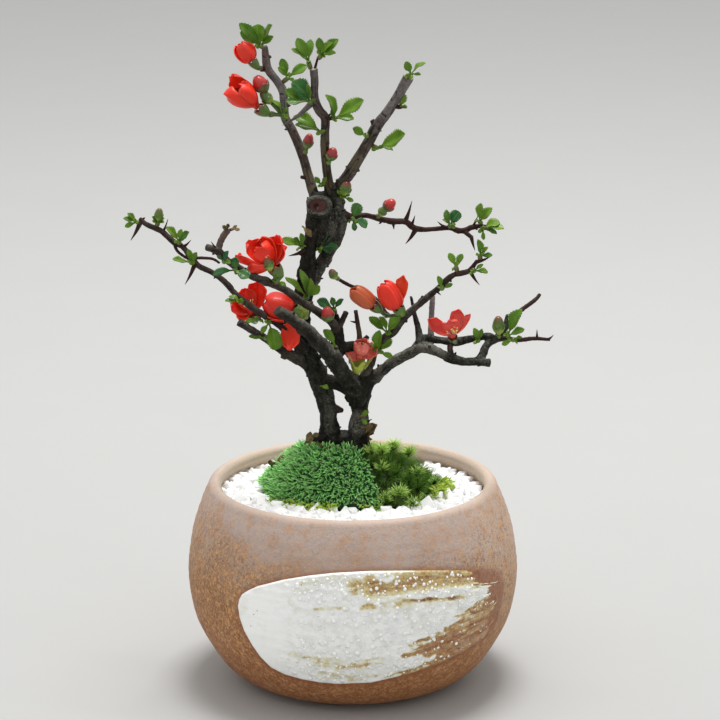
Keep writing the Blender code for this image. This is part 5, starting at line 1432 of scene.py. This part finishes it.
def make_moss(name, first, last, grower, lift, pull, sunk=0.0, hollow=0.0):
    """One moss of the mound, from one direction round to another: its shoots and the cushion under them."""
    steps = int((last - first) / math.radians(3.5))
    places, faces, combs = bed_surface(first, last, steps, BED_SHARES, lift, pull)
    away = np.hypot(places[:, 0] - MOSS_HOLLOW[0], places[:, 1] - MOSS_HOLLOW[1])
    places[:, 2] = np.maximum(places[:, 2] - sunk - hollow * (1 - soft_step(away, 1.5, 6.0)), BED_LOWEST)
    body = cushion(name + "_bed", places, faces, grower.finish, BED_LOWEST - 1.0)
    return joined(name, grower.grow(name + "_shoots", places, faces, combs), body)


def make_stars(finish):
    """Large single tufts of haircap moss: long needles that arch out from one short stem like a star."""
    body = Body()
    dice = random.Random("stars")
    for column, row, depth, reach, lean, count, light in MOSS_STARS:
        root = at(column, row, depth)
        root[2] = min(root[2], mound_height(root) + 1.5) - 2.2
        stem = unit(np.array([lean * 0.5, -0.25, 1.0]))
        for _ in range(count):
            turn, spread = dice.uniform(0, FULL_TURN), dice.uniform(0.1, 1.0) ** 0.7 * 1.5
            out = unit(stem + turned(turn) * spread)
            start = root + stem * dice.uniform(0.0, 2.6)
            long = reach * dice.uniform(0.65, 1.1)
            bend = turned(turn, -0.5) * long * 0.16
            path = np.array([start, start + out * long * 0.5 + bend * 0.2, start + out * long + bend])
            tube(body, path, [0.20, 0.22, 0.05], 3, tip=np.array([0.1, 0.42, 0.75]) + 0.3 * light,
                 shade=dice.uniform(0.2, 0.86))
    return body.piece("haircap_stars", finish)


def make_fringe(finish):
    """Low yellow-green shoots where the moss meets the gravel."""
    grower = carpet_grower(finish)
    parts = []
    for number, (first, last, start, push, rise) in enumerate(FRINGES):
        shares = [start, start / 2 + 0.5, 1.0]
        places, faces, combs = bed_surface(math.radians(first), math.radians(last), 14, shares, 0.3)
        places[:, :2] += (places[:, :2] - np.array(MOUND_CENTRE)) * push
        places[:, 2] += rise
        parts.append(grower.grow("fringe_%d" % number, places, faces, combs, Length=0.0030, Width=0.00055,
                                 Density=1.5e6))
    return joined("moss_fringe", *parts)


def make_gravel(finish):
    """Layer of crushed chips between the mound and the bowl, with a few loose chips on it."""
    count = 150
    shares = (0.0, 0.2, 0.4, 0.6, 0.8, 1.0)
    places = []
    for step in range(count):
        turn = FULL_TURN * step / count
        for share in shares:
            spot = mound_edge(turn, 0.9) * (1 - share) + turned(turn)[:2] * GRAVEL_REACH * share
            places.append((spot[0], spot[1], 0.0))
    places = np.array(places)
    places[:, 2] = GRAVEL_LEVEL - 0.7 + 0.8 * grain(places, 9, 8)
    faces = grid_faces(count, len(shares), closed=True)
    bed = cushion("gravel_bed", places - SKY * 1.4, faces, finish, GRAVEL_FOOT)
    shapes = chip_shapes(CHIP_SHAPES)
    grower = gravel_grower(finish, shapes)
    chips = grower.grow("gravel_layer", places, faces)
    loose = grower.grow("gravel_loose", places + SKY * 1.1, faces, Spacing=0.0072, Seed=9)
    for item in list(shapes.objects):
        bpy.data.objects.remove(item)
    bpy.data.collections.remove(shapes)
    stones = joined("gravel_chips", chips, loose, bed)
    set_smooth(stones.data, False)
    return stones


def limb_paths():
    """Centre line and radius of each limb in millimetres, smoothly curved."""
    limbs = {}
    for name, path in WOOD:
        rows = [(*at(column, row, deep(depth)), width * WIDTH_SCALE / 2)
                for column, row, depth, width in path]
        limbs[name] = curve(rows, 1.0)
        limbs[name][:, 3] = np.maximum(limbs[name][:, 3], 0.3)
    return limbs


def limb_points(limbs):
    """Points of the centre lines: place, radius, three directions, way along, limb number and share of it."""
    rows = []
    for number, path in enumerate(limbs.values()):
        along = np.concatenate([[0], np.cumsum(np.linalg.norm(np.diff(path[:, :3], axis=0), axis=1))])
        share = np.arange(len(path)) / (len(path) - 1)
        rows.append(np.hstack([path, *frames(path[:, :3]), along[:, None], np.full((len(path), 1), number),
                               share[:, None]]))
    return np.vstack(rows)


def scar_reach(columns, rows):
    """Distance from the middle of the healed cut under the crown, 1 on its ring."""
    return np.hypot((columns - SCAR[0]) / SCAR_HALF[0], (rows - SCAR[1]) / SCAR_HALF[1])


def scar_relief(columns, rows, depths):
    """Healed cut: an arched lip round folded flesh with a hole in it."""
    reach = scar_reach(columns, rows)
    near = (1 - soft_step(reach, 1.2, 1.5)) * (1 - soft_step(depths, 3.5, 6.0))
    right, low = columns - SCAR_HOLE[0], rows - SCAR_HOLE[1]
    hole = 1 - soft_step(np.hypot(right / SCAR_HOLE_HALF[0], low / SCAR_HOLE_HALF[1]), 0.4, 1.1)
    lip = np.exp(-((reach - 1.02) / 0.20) ** 2)
    lip = lip * (0.30 + 0.70 * soft_step(columns * 0.35 - rows, -98.5, -91.5))
    inner = 1 - soft_step(reach, 0.70, 0.95)
    folds = 0.28 * np.sin(reach * 14 + np.arctan2(low, right) * 2) * (1 - hole) * inner
    return near, 1.3 * lip - 2.0 * hole - 0.4 * inner + folds, near * inner, near * hole


def bare_skin(limbs):
    """Stump and thick limbs grown together in one closed skin."""
    thick = Body()
    sides = 28
    rings = [[(*stump_edge(turn, spread), height) for turn in around(sides)]
             for height, spread in STUMP_RINGS]
    thick.add(np.concatenate(rings), ring_faces(sides, len(rings)))
    for path in limbs.values():
        if path[:, 3].max() >= FINE_RADIUS:
            tube(thick, path[:, :3], path[:, 3], 18)
    skin = thick.piece("trunk_skin")
    step = skin.modifiers.new("grown together", "REMESH")
    step.mode = "VOXEL"
    step.voxel_size = SKIN_GRAIN * MM
    soft = skin.modifiers.new("softened", "SMOOTH")
    soft.factor = 0.5
    soft.iterations = SKIN_PASSES
    return plain(skin, "trunk_skin")


def nearest_lines(corners, lines):
    """Centre line nearest to each point: place, radius, three directions, way along, limb and share of it."""
    nearest = np.zeros(len(corners), int)
    for start in range(0, len(corners), 4000):
        part = corners[start:start + 4000, None, :]
        gap = np.linalg.norm(part - lines[None, :, :3], axis=2) - lines[None, :, 3]
        nearest[start:start + 4000] = gap.argmin(1)
    return np.split(lines[nearest], [3, 4, 7, 10, 13, 14, 15], 1)


def bark_grey_and_highlight(on, lit, columns, rows, normals, near, burl):
    """How grey the bark is, limb by limb, with painted highlight where it faces the sky."""
    return np.maximum.reduce([
        (on("right_limb") * (0.45 + 0.9 * lit) * soft_step(columns, 364, 384)
         * (1 - 0.75 * soft_step(columns, 424, 452))),
        on("upper_arm", "rising_arm", "upper_stub", "grey_stub") * (0.12 + 0.5 * lit),
        on("cut_limb") * (0.02 + 1.25 * lit) * (1 - 0.7 * soft_step(rows, 372, 400)),
        # Painted light: the fork is greyer on the side that faces the right.
        on("right_fork", "fork_web") * (0.2 + 0.5 * soft_step(normals[:, 0], -0.1, 0.6)),
        # Painted sheen: a pale streak down the middle of the lower left stem.
        on("left_stem") * 0.45 * soft_step(rows, 340, 400) * (1 - soft_step(np.abs(columns - 329), 1, 8)),
        on("low_left", "long_left") * (0.10 + 0.5 * lit),
        on("upright") * (0.25 + 0.6 * lit) * (1 - soft_step(columns, 420, 440)),
        on("top_right") * (0.85 - 0.75 * soft_step(rows, 108, 150)),
        on("top_left") * (1 - soft_step(rows, 96, 140)),
        on("top_middle") * 0.45 * (1 - soft_step(rows, 100, 140)),
        near * (1 - soft_step(np.abs(scar_reach(columns, rows) - 1.05), 0.1, 0.3)), burl])


def bark_pale(on, lit, columns, rows, cut, near, burl):
    """How pale the bark is: fresh cuts, the middle of the healed one and the lit side of a few limbs."""
    return np.maximum.reduce([
        cut, 0.05 * burl,
        0.16 * lit ** 2 * on("cut_limb") * (1 - soft_step(rows, 385, 400)),
        0.12 * lit ** 2 * on("right_limb", "upright") * (1 - soft_step(columns, 410, 440)),
        0.05 * lit * on("low_left", "long_left", "top_left"),
        0.5 * near * (1 - soft_step(np.hypot(columns - 317.6, rows - 207.6), 0.5, 1.6))])


def make_bark(limbs, finish):
    """Stems and thick branches in one skin with bark relief, and all that is thinner."""
    skin = bare_skin(limbs)
    corners, normals = point_rows(skin.data, "co") / MM, point_rows(skin.data, "normal")
    core, girth, ahead, across, beside, along, limb, share = nearest_lines(corners, limb_points(limbs))
    girth, along, limb, share = girth[:, 0], along[:, 0], limb[:, 0], share[:, 0]
    names = list(limbs)

    def on(*wanted):
        """1 for points whose nearest limb is one of those wanted."""
        return np.isin(limb, [names.index(key) for key in wanted]) * 1.0

    offset = corners - core
    angle = np.arctan2((offset * beside).sum(1), (offset * across).sum(1))
    reach = (offset * ahead).sum(1)
    wrapped = np.stack([np.cos(angle) * girth, np.sin(angle) * girth, (along + reach) / 3.6], 1)
    crack = soft_step(1 - np.abs(grain(wrapped, 1.7, 1)), 0.72, 1.0)
    columns, rows = seen(corners)
    crown = on("top_left", "top_middle", "top_right") * (1 - soft_step(rows, 188, 206))
    stump = corners[:, 2] < STUMP_TOP
    amount = np.clip(girth * 0.15, 0.05, 0.70) * (1 - 0.6 * crown)
    amount = np.where(stump, 0.9, amount * (1 + 0.35 * on("cut_limb", "right_limb")))
    knobs = soft_step(grain(corners, 3.9, 11), 0.30, 0.75) * (1 - crown)
    lift = (0.80 * grain(corners, 4.6, 2) + 0.60 * grain(wrapped, 2.2, 3) + 0.35 * grain(corners, 1.2, 4)
            - 0.65 * crack + 1.3 * knobs)
    end = soft_step((normals * ahead).sum(1), 0.55, 0.85) * (share > 0.985) * (girth < 3.2)
    near, healed, flesh, hole = scar_relief(columns, rows, corners[:, 1])
    corners = corners + normals * (lift * (1 - 0.7 * end) * amount * (1 - near) + healed * near)[:, None]
    skin.data.vertices.foreach_set("co", (corners * MM).ravel())

    # lit: how far the bark faces the sky; it paints highlights into the grey and the pale of the bark.
    lit = soft_step(normals[:, 2], -0.1, 0.9)
    burl = 1 - soft_step(np.hypot(columns - BURL[0], (rows - BURL[1]) * 0.8), 7, 13)
    burl = burl * soft_step(-normals[:, 1], -0.2, 0.4)
    edge = soft_step(np.linalg.norm(offset - ahead * reach[:, None], axis=1) / girth, 0.55, 0.8)
    cut = end * np.maximum(on("top_middle"), on("top_right") * edge)
    pale = bark_pale(on, lit, columns, rows, cut, near, burl)
    dark = np.maximum(on("upper_arm", "rising_arm", "upper_stub", "middle_stub", "broken_stub"),
                      on("right_limb") * soft_step(columns, 424, 452))
    girth = np.maximum(girth * (1 - 0.5 * on("side_right", "side_right_fork")), 3.4 * dark)
    grey = bark_grey_and_highlight(on, lit, columns, rows, normals, near, burl)
    carry(skin.data, girth=np.where(stump, 6.0, girth), ridge=(1 - crack) * (1 - hole), grey=grey,
          cut=end * (1 - pale), scar=flesh, pale=pale, crown=crown)
    dress(skin, finish)

    twigs = Body()
    add_nubs(twigs, corners, normals, stump | (end > 0.1) | (near > 0.05), girth, crown)
    add_twigs(twigs, limbs)
    add_thorns(twigs)
    return skin, twigs.piece("twigs", finish)


def add_nubs(body, corners, normals, bare, girth, crown):
    """Small nubs strewn over the bark, except where it stays bare."""
    dice = np.random.default_rng(7)
    for index in dice.choice(len(corners), NUBS, replace=False):
        if bare[index]:
            continue
        out = unit(normals[index] + 0.5 * dice.uniform(-1, 1, 3))
        reach, radius = dice.uniform(0.4, 1.3), dice.uniform(0.4, 0.75)
        path = [corners[index] + out * share for share in (-0.5, reach * 0.35, reach)]
        tube(body, path, [radius * 1.15, radius, radius * 0.35], 7, girth=girth[index], ridge=1.0,
             crown=crown[index])


def add_twigs(body, limbs):
    sides = 10
    for name, path in limbs.items():
        if path[:, 3].max() >= FINE_RADIUS:
            continue
        wave = np.random.default_rng(len(name)).uniform(-1, 1, (len(path), sides)) * 0.05 + 1
        knots = 1 + 0.10 * np.sin(np.arange(len(path)) * 1.7 + len(name)) ** 6
        tube(body, path[:, :3], path[:, 3] * knots, sides, wave, girth=path[:, 3], ridge=1.0,
             cut=np.where(np.arange(len(path)) > len(path) - 2, 0.8, 0.0), **TWIG_LOOK.get(name, {}))


def add_thorns(body):
    for base, tip, width in THORNS:
        start, end = from_to(base, tip)
        radius = width * WIDTH_SCALE / 2
        middle = (start + end) / 2 - SKY * 0.06 * np.linalg.norm(end - start)
        path = curve([(*start, radius * 1.15), (*middle, radius * 0.62), (*end, 0.10)], 0.9)
        grey = 0.75 if base == STEEL_THORN else 0.0
        tube(body, path[:, :3], np.maximum(path[:, 3], 0.08), 8, girth=np.clip(path[:, 3], 0.3, 1.4),
             ridge=1.0, crown=grey, grey=grey)


def nearest_wood(column, row):
    """Centre and radius of the wood nearest to a column and row of the front view, and how far it is."""
    best = None
    for _, path in WOOD:
        for first, second in zip(path, path[1:]):
            start, end = np.array(first, float), np.array(second, float)
            start[2], end[2] = deep(start[2]), deep(end[2])
            span = end[:2] - start[:2]
            share = np.clip(np.dot(np.array([column, row]) - start[:2], span) / max(span @ span, 1e-6), 0, 1)
            foot = start + (end - start) * share
            radius = foot[3] * WIDTH_SCALE / 2
            away = math.hypot(column - foot[0], row - foot[1]) * WIDTH_SCALE
            if best is None or away - radius < best[0]:
                best = (away - radius, foot, radius, away)
    return best[1:]


def hub_place(column, row, side):
    """Place of a leaf hub just clear of the wood, before it or behind it."""
    foot, radius, away = nearest_wood(column, row)
    clear = radius + CLEAR
    return at(column, row, foot[2] + side * math.sqrt(max(clear * clear - away * away, 0.0)))


def leaf(body, name, base, tip, ratio, tint):
    """Folded, finely toothed blade on a short stalk, broadest beyond its middle."""
    dice = random.Random(name)
    length = np.linalg.norm(tip - base)
    along = unit(tip - base)
    facing = unit(-AHEAD * 0.85 + UP * 0.5 + np.array([dice.uniform(-0.42, 0.42) for _ in range(3)]))
    facing = unit(facing - along * np.dot(facing, along))
    beside = np.cross(facing, along)
    arch = length * dice.uniform(0.03, 0.12)
    rows, columns = (29, 7) if length > 7 else (19, 5)
    t, e = np.linspace(0, 1, rows), np.linspace(-1, 1, columns)
    share = np.clip((t - LEAF_STALK) / (1 - LEAF_STALK), 0, 1)
    blunt = 1.0 if ratio > 0.6 else dice.uniform(0.0, 0.35)
    wide = read_off(LEAF_NARROW, share) * (1 - blunt) + read_off(LEAF_BROAD, share) * blunt
    half = length * ratio / 2
    wide = np.maximum(wide, np.where(t < LEAF_STALK * 1.3, 0.34 / max(half, 0.5), 0.02))
    teeth = 1 + 0.115 * ((np.arange(rows) % 2) * 2 - 1) * (share > 0.2) * (share < 0.98)
    edge = np.where(np.abs(e) > 0.99, teeth[:, None], 1.0)
    offset = half * wide[:, None] * e[None, :] * edge
    curl = dice.uniform(-0.10, 0.14) * length
    rise = arch * 4 * t * (1 - t) + curl * np.maximum(t - 0.45, 0) ** 2 * 4
    wave = 0.035 * length * np.sin(t * 11 + dice.uniform(0, 6))[:, None] * (e[None, :] ** 2) * wide[:, None]
    lift = rise[:, None] + 0.36 * np.sqrt(offset ** 2 + 0.02) + wave
    grid = (base + along * (t * length)[:, None, None] + beside * offset[:, :, None]
            + facing * lift[:, :, None])
    normals = np.broadcast_to(facing - 0.34 * np.sign(e)[None, :, None] * beside, grid.shape)
    sheet_body(body, grid, normals, LEAF_THICKNESS, across=e, along=t[:, None], tint=tint)


def petal_sheet(body, grid, across, along, tint):
    normals = units(np.cross(np.gradient(grid, axis=0), np.gradient(grid, axis=1)))
    sheet_body(body, grid, normals, PETAL_THICKNESS, across=across, along=along[:, None], tint=tint)


def petal(body, cup, tip, axis, width, turn, bulge, tint, label):
    """Rounded petal on a short claw, cupped to the flower's axis or turned to the front, softly ruffled."""
    dice = random.Random(label)
    length = np.linalg.norm(tip - cup)
    along = unit(tip - cup)
    inward = unit(axis - along * np.dot(axis, along) * 0.98) * (1 - abs(turn)) - AHEAD * turn
    inward = unit(inward - along * np.dot(inward, along))
    beside = np.cross(inward, along)
    t, e = np.linspace(0, 1, 17), np.linspace(-1, 1, 13)
    down, side = t[:, None], e[None, :]
    wide = read_off(PETAL_WIDTH, t)[:, None]
    phase = dice.uniform(0, ANY_PHASE)
    offset = side * wide * width / 2 * 1.04
    belly = (-bulge * length * 4 * t * (1 - t))[:, None]
    spoon = (0.12 + bulge) * width * wide * side ** 2 * (0.4 + down)
    ruffle = 0.075 * width * np.sin(phase + side * 4.2 + down * 5) * soft_step(down, 0.3, 1.0)
    ruffle = ruffle + 0.02 * width * np.sin(phase * 2 + side * 10 - down * 9) * soft_step(down, 0.4, 1.0)
    ruffle = ruffle * (0.3 + np.abs(side) + down ** 3)
    notch = -0.05 * length * np.exp(-(side / 0.22) ** 2) * soft_step(down, 0.8, 1.0) * dice.random()
    round_off = -0.10 * length * side ** 2 * soft_step(down, 0.75, 1.0)
    travel = down * length + notch + round_off
    rise = belly + spoon + ruffle
    grid = cup + along * travel[:, :, None] + beside * offset[:, :, None] + inward * rise[:, :, None]
    petal_sheet(body, grid, e, t, tint)


def folded_petals(body, cup, axis, reach, radius, tint, label):
    """Five broad petals folded over each other into a closed ball, their edges a little lifted."""
    dice = random.Random(label)
    across, beside = square_to(axis)
    t, e = np.linspace(0, 1, 15), np.linspace(-1, 1, 15)
    down, side = t[:, None], e[None, :]
    start = dice.uniform(0, ANY_PHASE)
    for number in range(5):
        polar = down * math.radians(dice.uniform(148, 166))
        height = reach * 0.5 * (1 - np.cos(polar))
        wide = radius * np.sin(polar * 0.94 + 0.14) ** 0.8
        spread = math.radians(dice.uniform(50, 62)) * read_off(FOLD_WIDTH, down)
        turn = start + number * FULL_TURN * 2 / 5 + dice.uniform(-0.15, 0.15)
        angle = turn + spread * side + 0.35 * down ** 2
        level = 0.95 - 0.035 * number + 0.12 * soft_step(side, 0.35, 1.0) * soft_step(down, 0.25, 0.8)
        level = level + 0.05 * soft_step(down, 0.75, 1.0) * dice.uniform(0.3, 1.0)
        level = level + 0.012 * np.sin(side * 5 + down * 4 + number)
        rise = height * (0.985 - 0.012 * number) - 0.06 * reach * side ** 2 * soft_step(down, 0.7, 1.0)
        out = wide * level
        grid = (cup + rise[:, :, None] * axis + (out * np.cos(angle))[:, :, None] * across
                + (out * np.sin(angle))[:, :, None] * beside)
        petal_sheet(body, grid, e, t, float(np.clip(tint + dice.uniform(-0.04, 0.06), 0, 1)))


def bud(body, start, axis, half, radius, blush):
    """Pointed oval bud, wrapped at its foot by a five-lobed calyx."""
    rings, sides = 12, 16
    t = np.linspace(0, 1, rings)
    wide = np.sqrt(np.maximum(np.sin(math.pi * (0.06 + 0.90 * t ** 0.9)), 0.0)) * radius * 0.96
    creases = 1 + 0.035 * np.cos(3 * around(sides)[None, :] + np.arange(rings)[:, None] * 0.5)
    tube(body, start + axis * (t * half * 2)[:, None], np.maximum(wide, 0.18), sides, creases,
         blush=np.clip(blush + (t - 0.5) * 0.6, 0, 1 if blush > 0.84 else 0.80))
    calyx(body, start - axis * 0.25, axis, half * 1.15, radius * 1.06, max(blush - 0.55, 0.05))


def calyx(body, start, axis, length, radius, blush, cleft=PLAIN_CLEFT):
    """Cup of five pointed lobes, open at the top and closed round its wall."""
    sides = 30
    turns = around(sides)
    across, beside = square_to(axis)
    out = np.cos(turns)[:, None] * across + np.sin(turns)[:, None] * beside
    lobes = 0.5 + 0.5 * np.cos(5 * turns)
    rings, tips = [], []
    for share, wide in CALYX_WALL:
        reach = share * length * (1 - cleft * (1 - lobes) * max(share - 0.5, 0) * 2)
        flare = 1 + max(cleft - PLAIN_CLEFT, 0) * 1.3 * share ** 3 * lobes
        rings.append(start + axis * reach[:, None] + out * radius * wide * flare[:, None])
        tips.append(np.full(sides, share))
    tips = np.concatenate(tips)
    body.add(np.concatenate(rings), ring_faces(sides, len(rings)),
             blush=np.clip(blush + 0.35 * tips ** 3, 0, 1))


def add_leaves(leaves, name, index, hub, place):
    """Leaves of one hub, and the two small leaves at its foot."""
    column, row, side, tips = hub
    for number, tip in enumerate(tips):
        dice = random.Random("%s_leaf%d%dreach" % (name, index, number))
        across = math.hypot(tip[0] - column, tip[1] - row) * WIDTH_SCALE
        depth = at(column, row, place[1])[1]
        reach = at(tip[0], tip[1], depth + side * 0.5 + across * dice.uniform(-0.45, 0.28))
        start = place + unit(reach - place) * 0.35
        ratio = tip[2] if len(tip) > 2 else dice.uniform(0.40, 0.50)
        tint = LEAF_TINTS.get(name, 0.35) + dice.uniform(-0.18, 0.12)
        leaf(leaves, "%s_leaf%d%d" % (name, index, number), start, reach, ratio, np.clip(tint, 0.0, 1.0))
    if tips:
        dice = random.Random("%sstipules%d" % (name, index))
        for number in range(2):
            out = unit(np.array([dice.uniform(-1, 1), dice.uniform(-0.8, 0.3), dice.uniform(-0.5, 0.6)]))
            end = place + out * dice.uniform(2.2, 3.2)
            leaf(leaves, "%s_stipule%d%d" % (name, index, number), place, end, 0.62, 0.45)


def make_growth(tree, leaf_look, skin_look):
    """Leaves, spurs, buds and calyxes of every leafy stem."""
    leaves, skins = Body(), Body()
    for name, hubs, buds in SPRAYS:
        places = [hub_place(*hub[:3]) for hub in hubs]
        for index, (hub, place) in enumerate(zip(hubs, places)):
            surface = np.array(tree.find_nearest(tuple(place * MM))[0]) / MM
            away = unit(place - surface)
            path = [surface - away * 0.3, surface + (place - surface) * 0.5, place, place + away * 0.9]
            tube(skins, path, [0.95, 1.1, 1.05, 0.4], 10, blush=np.array([0.55, 0.45, 0.3, 0.2]))
            add_leaves(leaves, name, index, hub, place)
        for index in range(1, len(places)):
            before, after = hubs[index - 1], hubs[index]
            halfway = (before[0] + after[0]) / 2, (before[1] + after[1]) / 2
            _, radius, away = nearest_wood(*halfway)
            if away >= radius + 2 * CLEAR:
                path = curve([places[index - 1], hub_place(*halfway, after[2]), places[index]], 1.0)
                tube(skins, path, [0.6] * len(path), 8, blush=0.5)
        for number, (hub, column, row, width, length) in enumerate(buds):
            place = places[hub]
            side, rise, forward = BUD_WAYS.get((name, number), (0.0, 0.0, 1.0))
            centre = at(column, row, place[1] - forward)
            axis = unit(RIGHT * side + UP * rise - AHEAD * 0.35) if rise else unit(centre - place)
            half = length * WIDTH_SCALE / 2
            start = centre - axis * half
            bud(skins, start, axis, half, width * WIDTH_SCALE / 2, BUD_BLUSH.get((name, number), 0.7))
            tube(skins, [place, start + axis * 0.3], [0.7, 0.75], 8, blush=0.35)
    for name, (place, cup, axis, size, _, _) in flower_plan().items():
        neck = cup - axis * (size[1] + 0.3)
        blush, spread, cleft = CALYX_LOOK.get(name, (0.30, 1.12, PLAIN_CLEFT))
        calyx(skins, neck, axis, size[1] + 0.6 + (cleft > 0.3) * 1.4, size[0] * spread, blush, cleft)
        if np.linalg.norm(neck - place) > 0.4:
            tube(skins, [place, neck + axis * 0.5], [0.85, 0.95], 10, blush=0.4)
    for number, (base, tip, ratio, tint) in enumerate(LONE_LEAVES):
        leaf(leaves, "lone_leaf%d" % number, *from_to(base, tip), ratio, tint)
    return leaves.piece("leaves", leaf_look), skins.piece("buds_and_calyxes", skin_look)


def flower_plan():
    """Hub, cup, axis, cup size, ball and petals of each flower in millimetres."""
    plan = {}
    hubs = {name: places for name, places, _ in SPRAYS}
    for name, spray, hub, cup, size, face, ball, bulge, tips in FLOWERS:
        place = hub_place(*hubs[spray][hub][:3])
        centre = at(cup[0], cup[1], place[1] + cup[2])
        ahead = at(face[0], face[1], centre[1] + face[2]) - centre
        closed = (np.linalg.norm(ahead), ball / 2) if ball else None
        petals = [(at(tip[0], tip[1], centre[1] + tip[2]), tip[3], tip[4], bulge) for tip in tips]
        plan[name] = (place, centre, unit(ahead), size, closed, petals)
    return plan


def make_flowers(petal_look, stamen_look):
    petals, stamens = Body(), Body()
    for name, (_, cup, axis, _, ball, tips) in flower_plan().items():
        tint = PETAL_TINTS[name]
        dice = random.Random(name + "stamens")
        if ball:
            folded_petals(petals, cup - axis * 0.4, axis, ball[0] + 0.4, ball[1], tint, name)
        for index, (tip, width, turn, bulge) in enumerate(tips):
            start = cup + axis * (0.3 + 0.7 * (index % 2))
            shade = float(np.clip(tint + dice.uniform(-0.05, 0.08) + (0.24 if ball else 0.0), 0, 1))
            petal(petals, start, tip, axis, width, turn, bulge, shade, "%s_petal%d" % (name, index))
        tube(petals, [cup - axis * 0.3, cup + axis * 1.2, cup + axis * 2.6], [1.5, 1.6, 0.9], 12, along=0.1,
             tint=tint)
        if ball:
            continue
        across, beside = square_to(axis)
        for _ in range(STAMENS):
            turn = dice.uniform(0, FULL_TURN)
            out = (math.cos(turn) * across + math.sin(turn) * beside) * dice.uniform(0.15, 0.62)
            reach = unit(axis + out) * dice.uniform(3.6, 5.2)
            root = cup + axis * 1.6 + out * 1.2
            path = [root, root + reach * 0.5 + axis * 0.3, root + reach * 0.93, root + reach]
            tube(stamens, path, [0.13, 0.11, 0.11, 0.11], 5, tip=np.array([0.0, 0.4, 0.6, 0.7]))
            knob = [root + reach * share for share in (0.93, 0.97, 1.05, 1.12)]
            tube(stamens, knob, [0.10, 0.30, 0.30, 0.08], 6, tip=1.0)
    return petals.piece("petals", petal_look), stamens.piece("stamens", stamen_look)


def make_dry_bits(finish):
    """Curled dry bud scales and dry leaves at the foot of the stems, on the mound and on a twig."""
    body = Body()
    dice = random.Random("scales")
    for number, spot in enumerate(DRY_SCALES):
        base = at(*spot)
        out = unit(np.array([dice.uniform(-1, 1), dice.uniform(-1, 0.2), dice.uniform(0.0, 0.8)]))
        leaf(body, "scale_%d" % number, base - out * 1.0, base + out * dice.uniform(1.6, 3.2), 0.6, 0.5)
    for number, (base, tip, forward) in enumerate(DRY_LEAVES):
        start, end = (at(column, row, deep(depth) - forward) for column, row, depth in (base, tip))
        leaf(body, "dry_leaf_%d" % number, start, end, 0.45, 0.5)
    return body.piece("dry_scales", finish)


def make_stage():
    """Floor, soft room light, three lamps and the camera of the front view."""
    mesh = bpy.data.meshes.new("floor")
    reach = 6.0
    corners = [(-reach, -reach, 0.0), (reach, -reach, 0.0), (reach, reach, 0.0), (-reach, reach, 0.0)]
    mesh.from_pydata(corners, [], [(0, 1, 2, 3)])
    mesh.materials.append(floor_finish())
    floor = linked("floor", mesh)
    world = bpy.data.worlds.new("soft room")
    world.use_nodes = True
    world.node_tree.nodes["Background"].inputs["Color"].default_value = (1.0, 0.995, 0.985, 1.0)
    world.node_tree.nodes["Background"].inputs["Strength"].default_value = 0.85
    bpy.context.scene.world = world
    for name, place, size, power, tone in LAMPS:
        lamp = bpy.data.lights.new(name, "AREA")
        lamp.energy = power
        lamp.size = size
        lamp.color = tone
        light = linked(name, lamp)
        light.location = place
        direction = LAMP_AIM - np.array(place)
        light.rotation_euler = (math.acos(direction[2] / np.linalg.norm(direction)) + math.pi, 0.0,
                                math.atan2(direction[1], direction[0]) - math.pi / 2)
    lens = bpy.data.cameras.new("front camera")
    lens.sensor_width = 36.0
    lens.lens = VIEW_SCALE / (2 * VIEW_MIDDLE) * lens.sensor_width
    lens.clip_start = 0.05
    camera = linked("front camera", lens)
    camera.location = tuple(EYE * MM)
    camera.rotation_euler = (math.pi / 2 - VIEW_TILT, 0.0, 0.0)
    bpy.context.scene.camera = camera
    bpy.context.scene.view_settings.view_transform = "Standard"


def main():
    make_stage()
    pot = make_pot()
    glaze = make_glaze(pot, glaze_finish())
    add_halo(pot)
    dress(pot, clay_finish())
    settle(pot, "pot", "pot")
    settle(glaze, "pot")
    settle(make_gravel(marble_finish()), "gravel", "gravel")

    carpet_look, tuft_look, fringe_look, star_look = (moss_finish(name, *tones) for name, tones in MOSS_TONES)
    carpet = make_moss("carpet_moss", MOSS_SPLIT[1], MOSS_SPLIT[0] + FULL_TURN, carpet_grower(carpet_look),
                       0.55, 2.0)
    settle(carpet, "moss_mound", "moss_mound")
    tufts = make_moss("haircap_moss", *MOSS_SPLIT, tuft_grower(tuft_look), 1.0, 4.4, sunk=6.4, hollow=4.0)
    settle(joined("haircap_moss", tufts, make_stars(star_look)), "moss_tuft", "moss_tuft")
    settle(make_fringe(fringe_look), "moss_tuft")

    skin, twigs = make_bark(limb_paths(), bark_finish())
    tree = search_tree(skin.data, twigs.data)
    settle(skin, "trunk", "trunk")
    settle(twigs, "trunk", "trunk")
    for piece in make_growth(tree, leaf_finish(), bud_finish()):
        settle(piece, "leaf_green", *[spray[0] for spray in SPRAYS])
    petals, stamens = make_flowers(petal_finish(), stamen_finish())
    settle(petals, "petal_red", *[flower[0] for flower in FLOWERS])
    settle(stamens, "petal_red")
    settle(make_dry_bits(dry_finish()), "trunk")
    for node, look in (("soil", soil_finish()), ("drain_net", net_finish())):
        for place in frame["nodes"][node].material_slots:
            place.material = look


main()
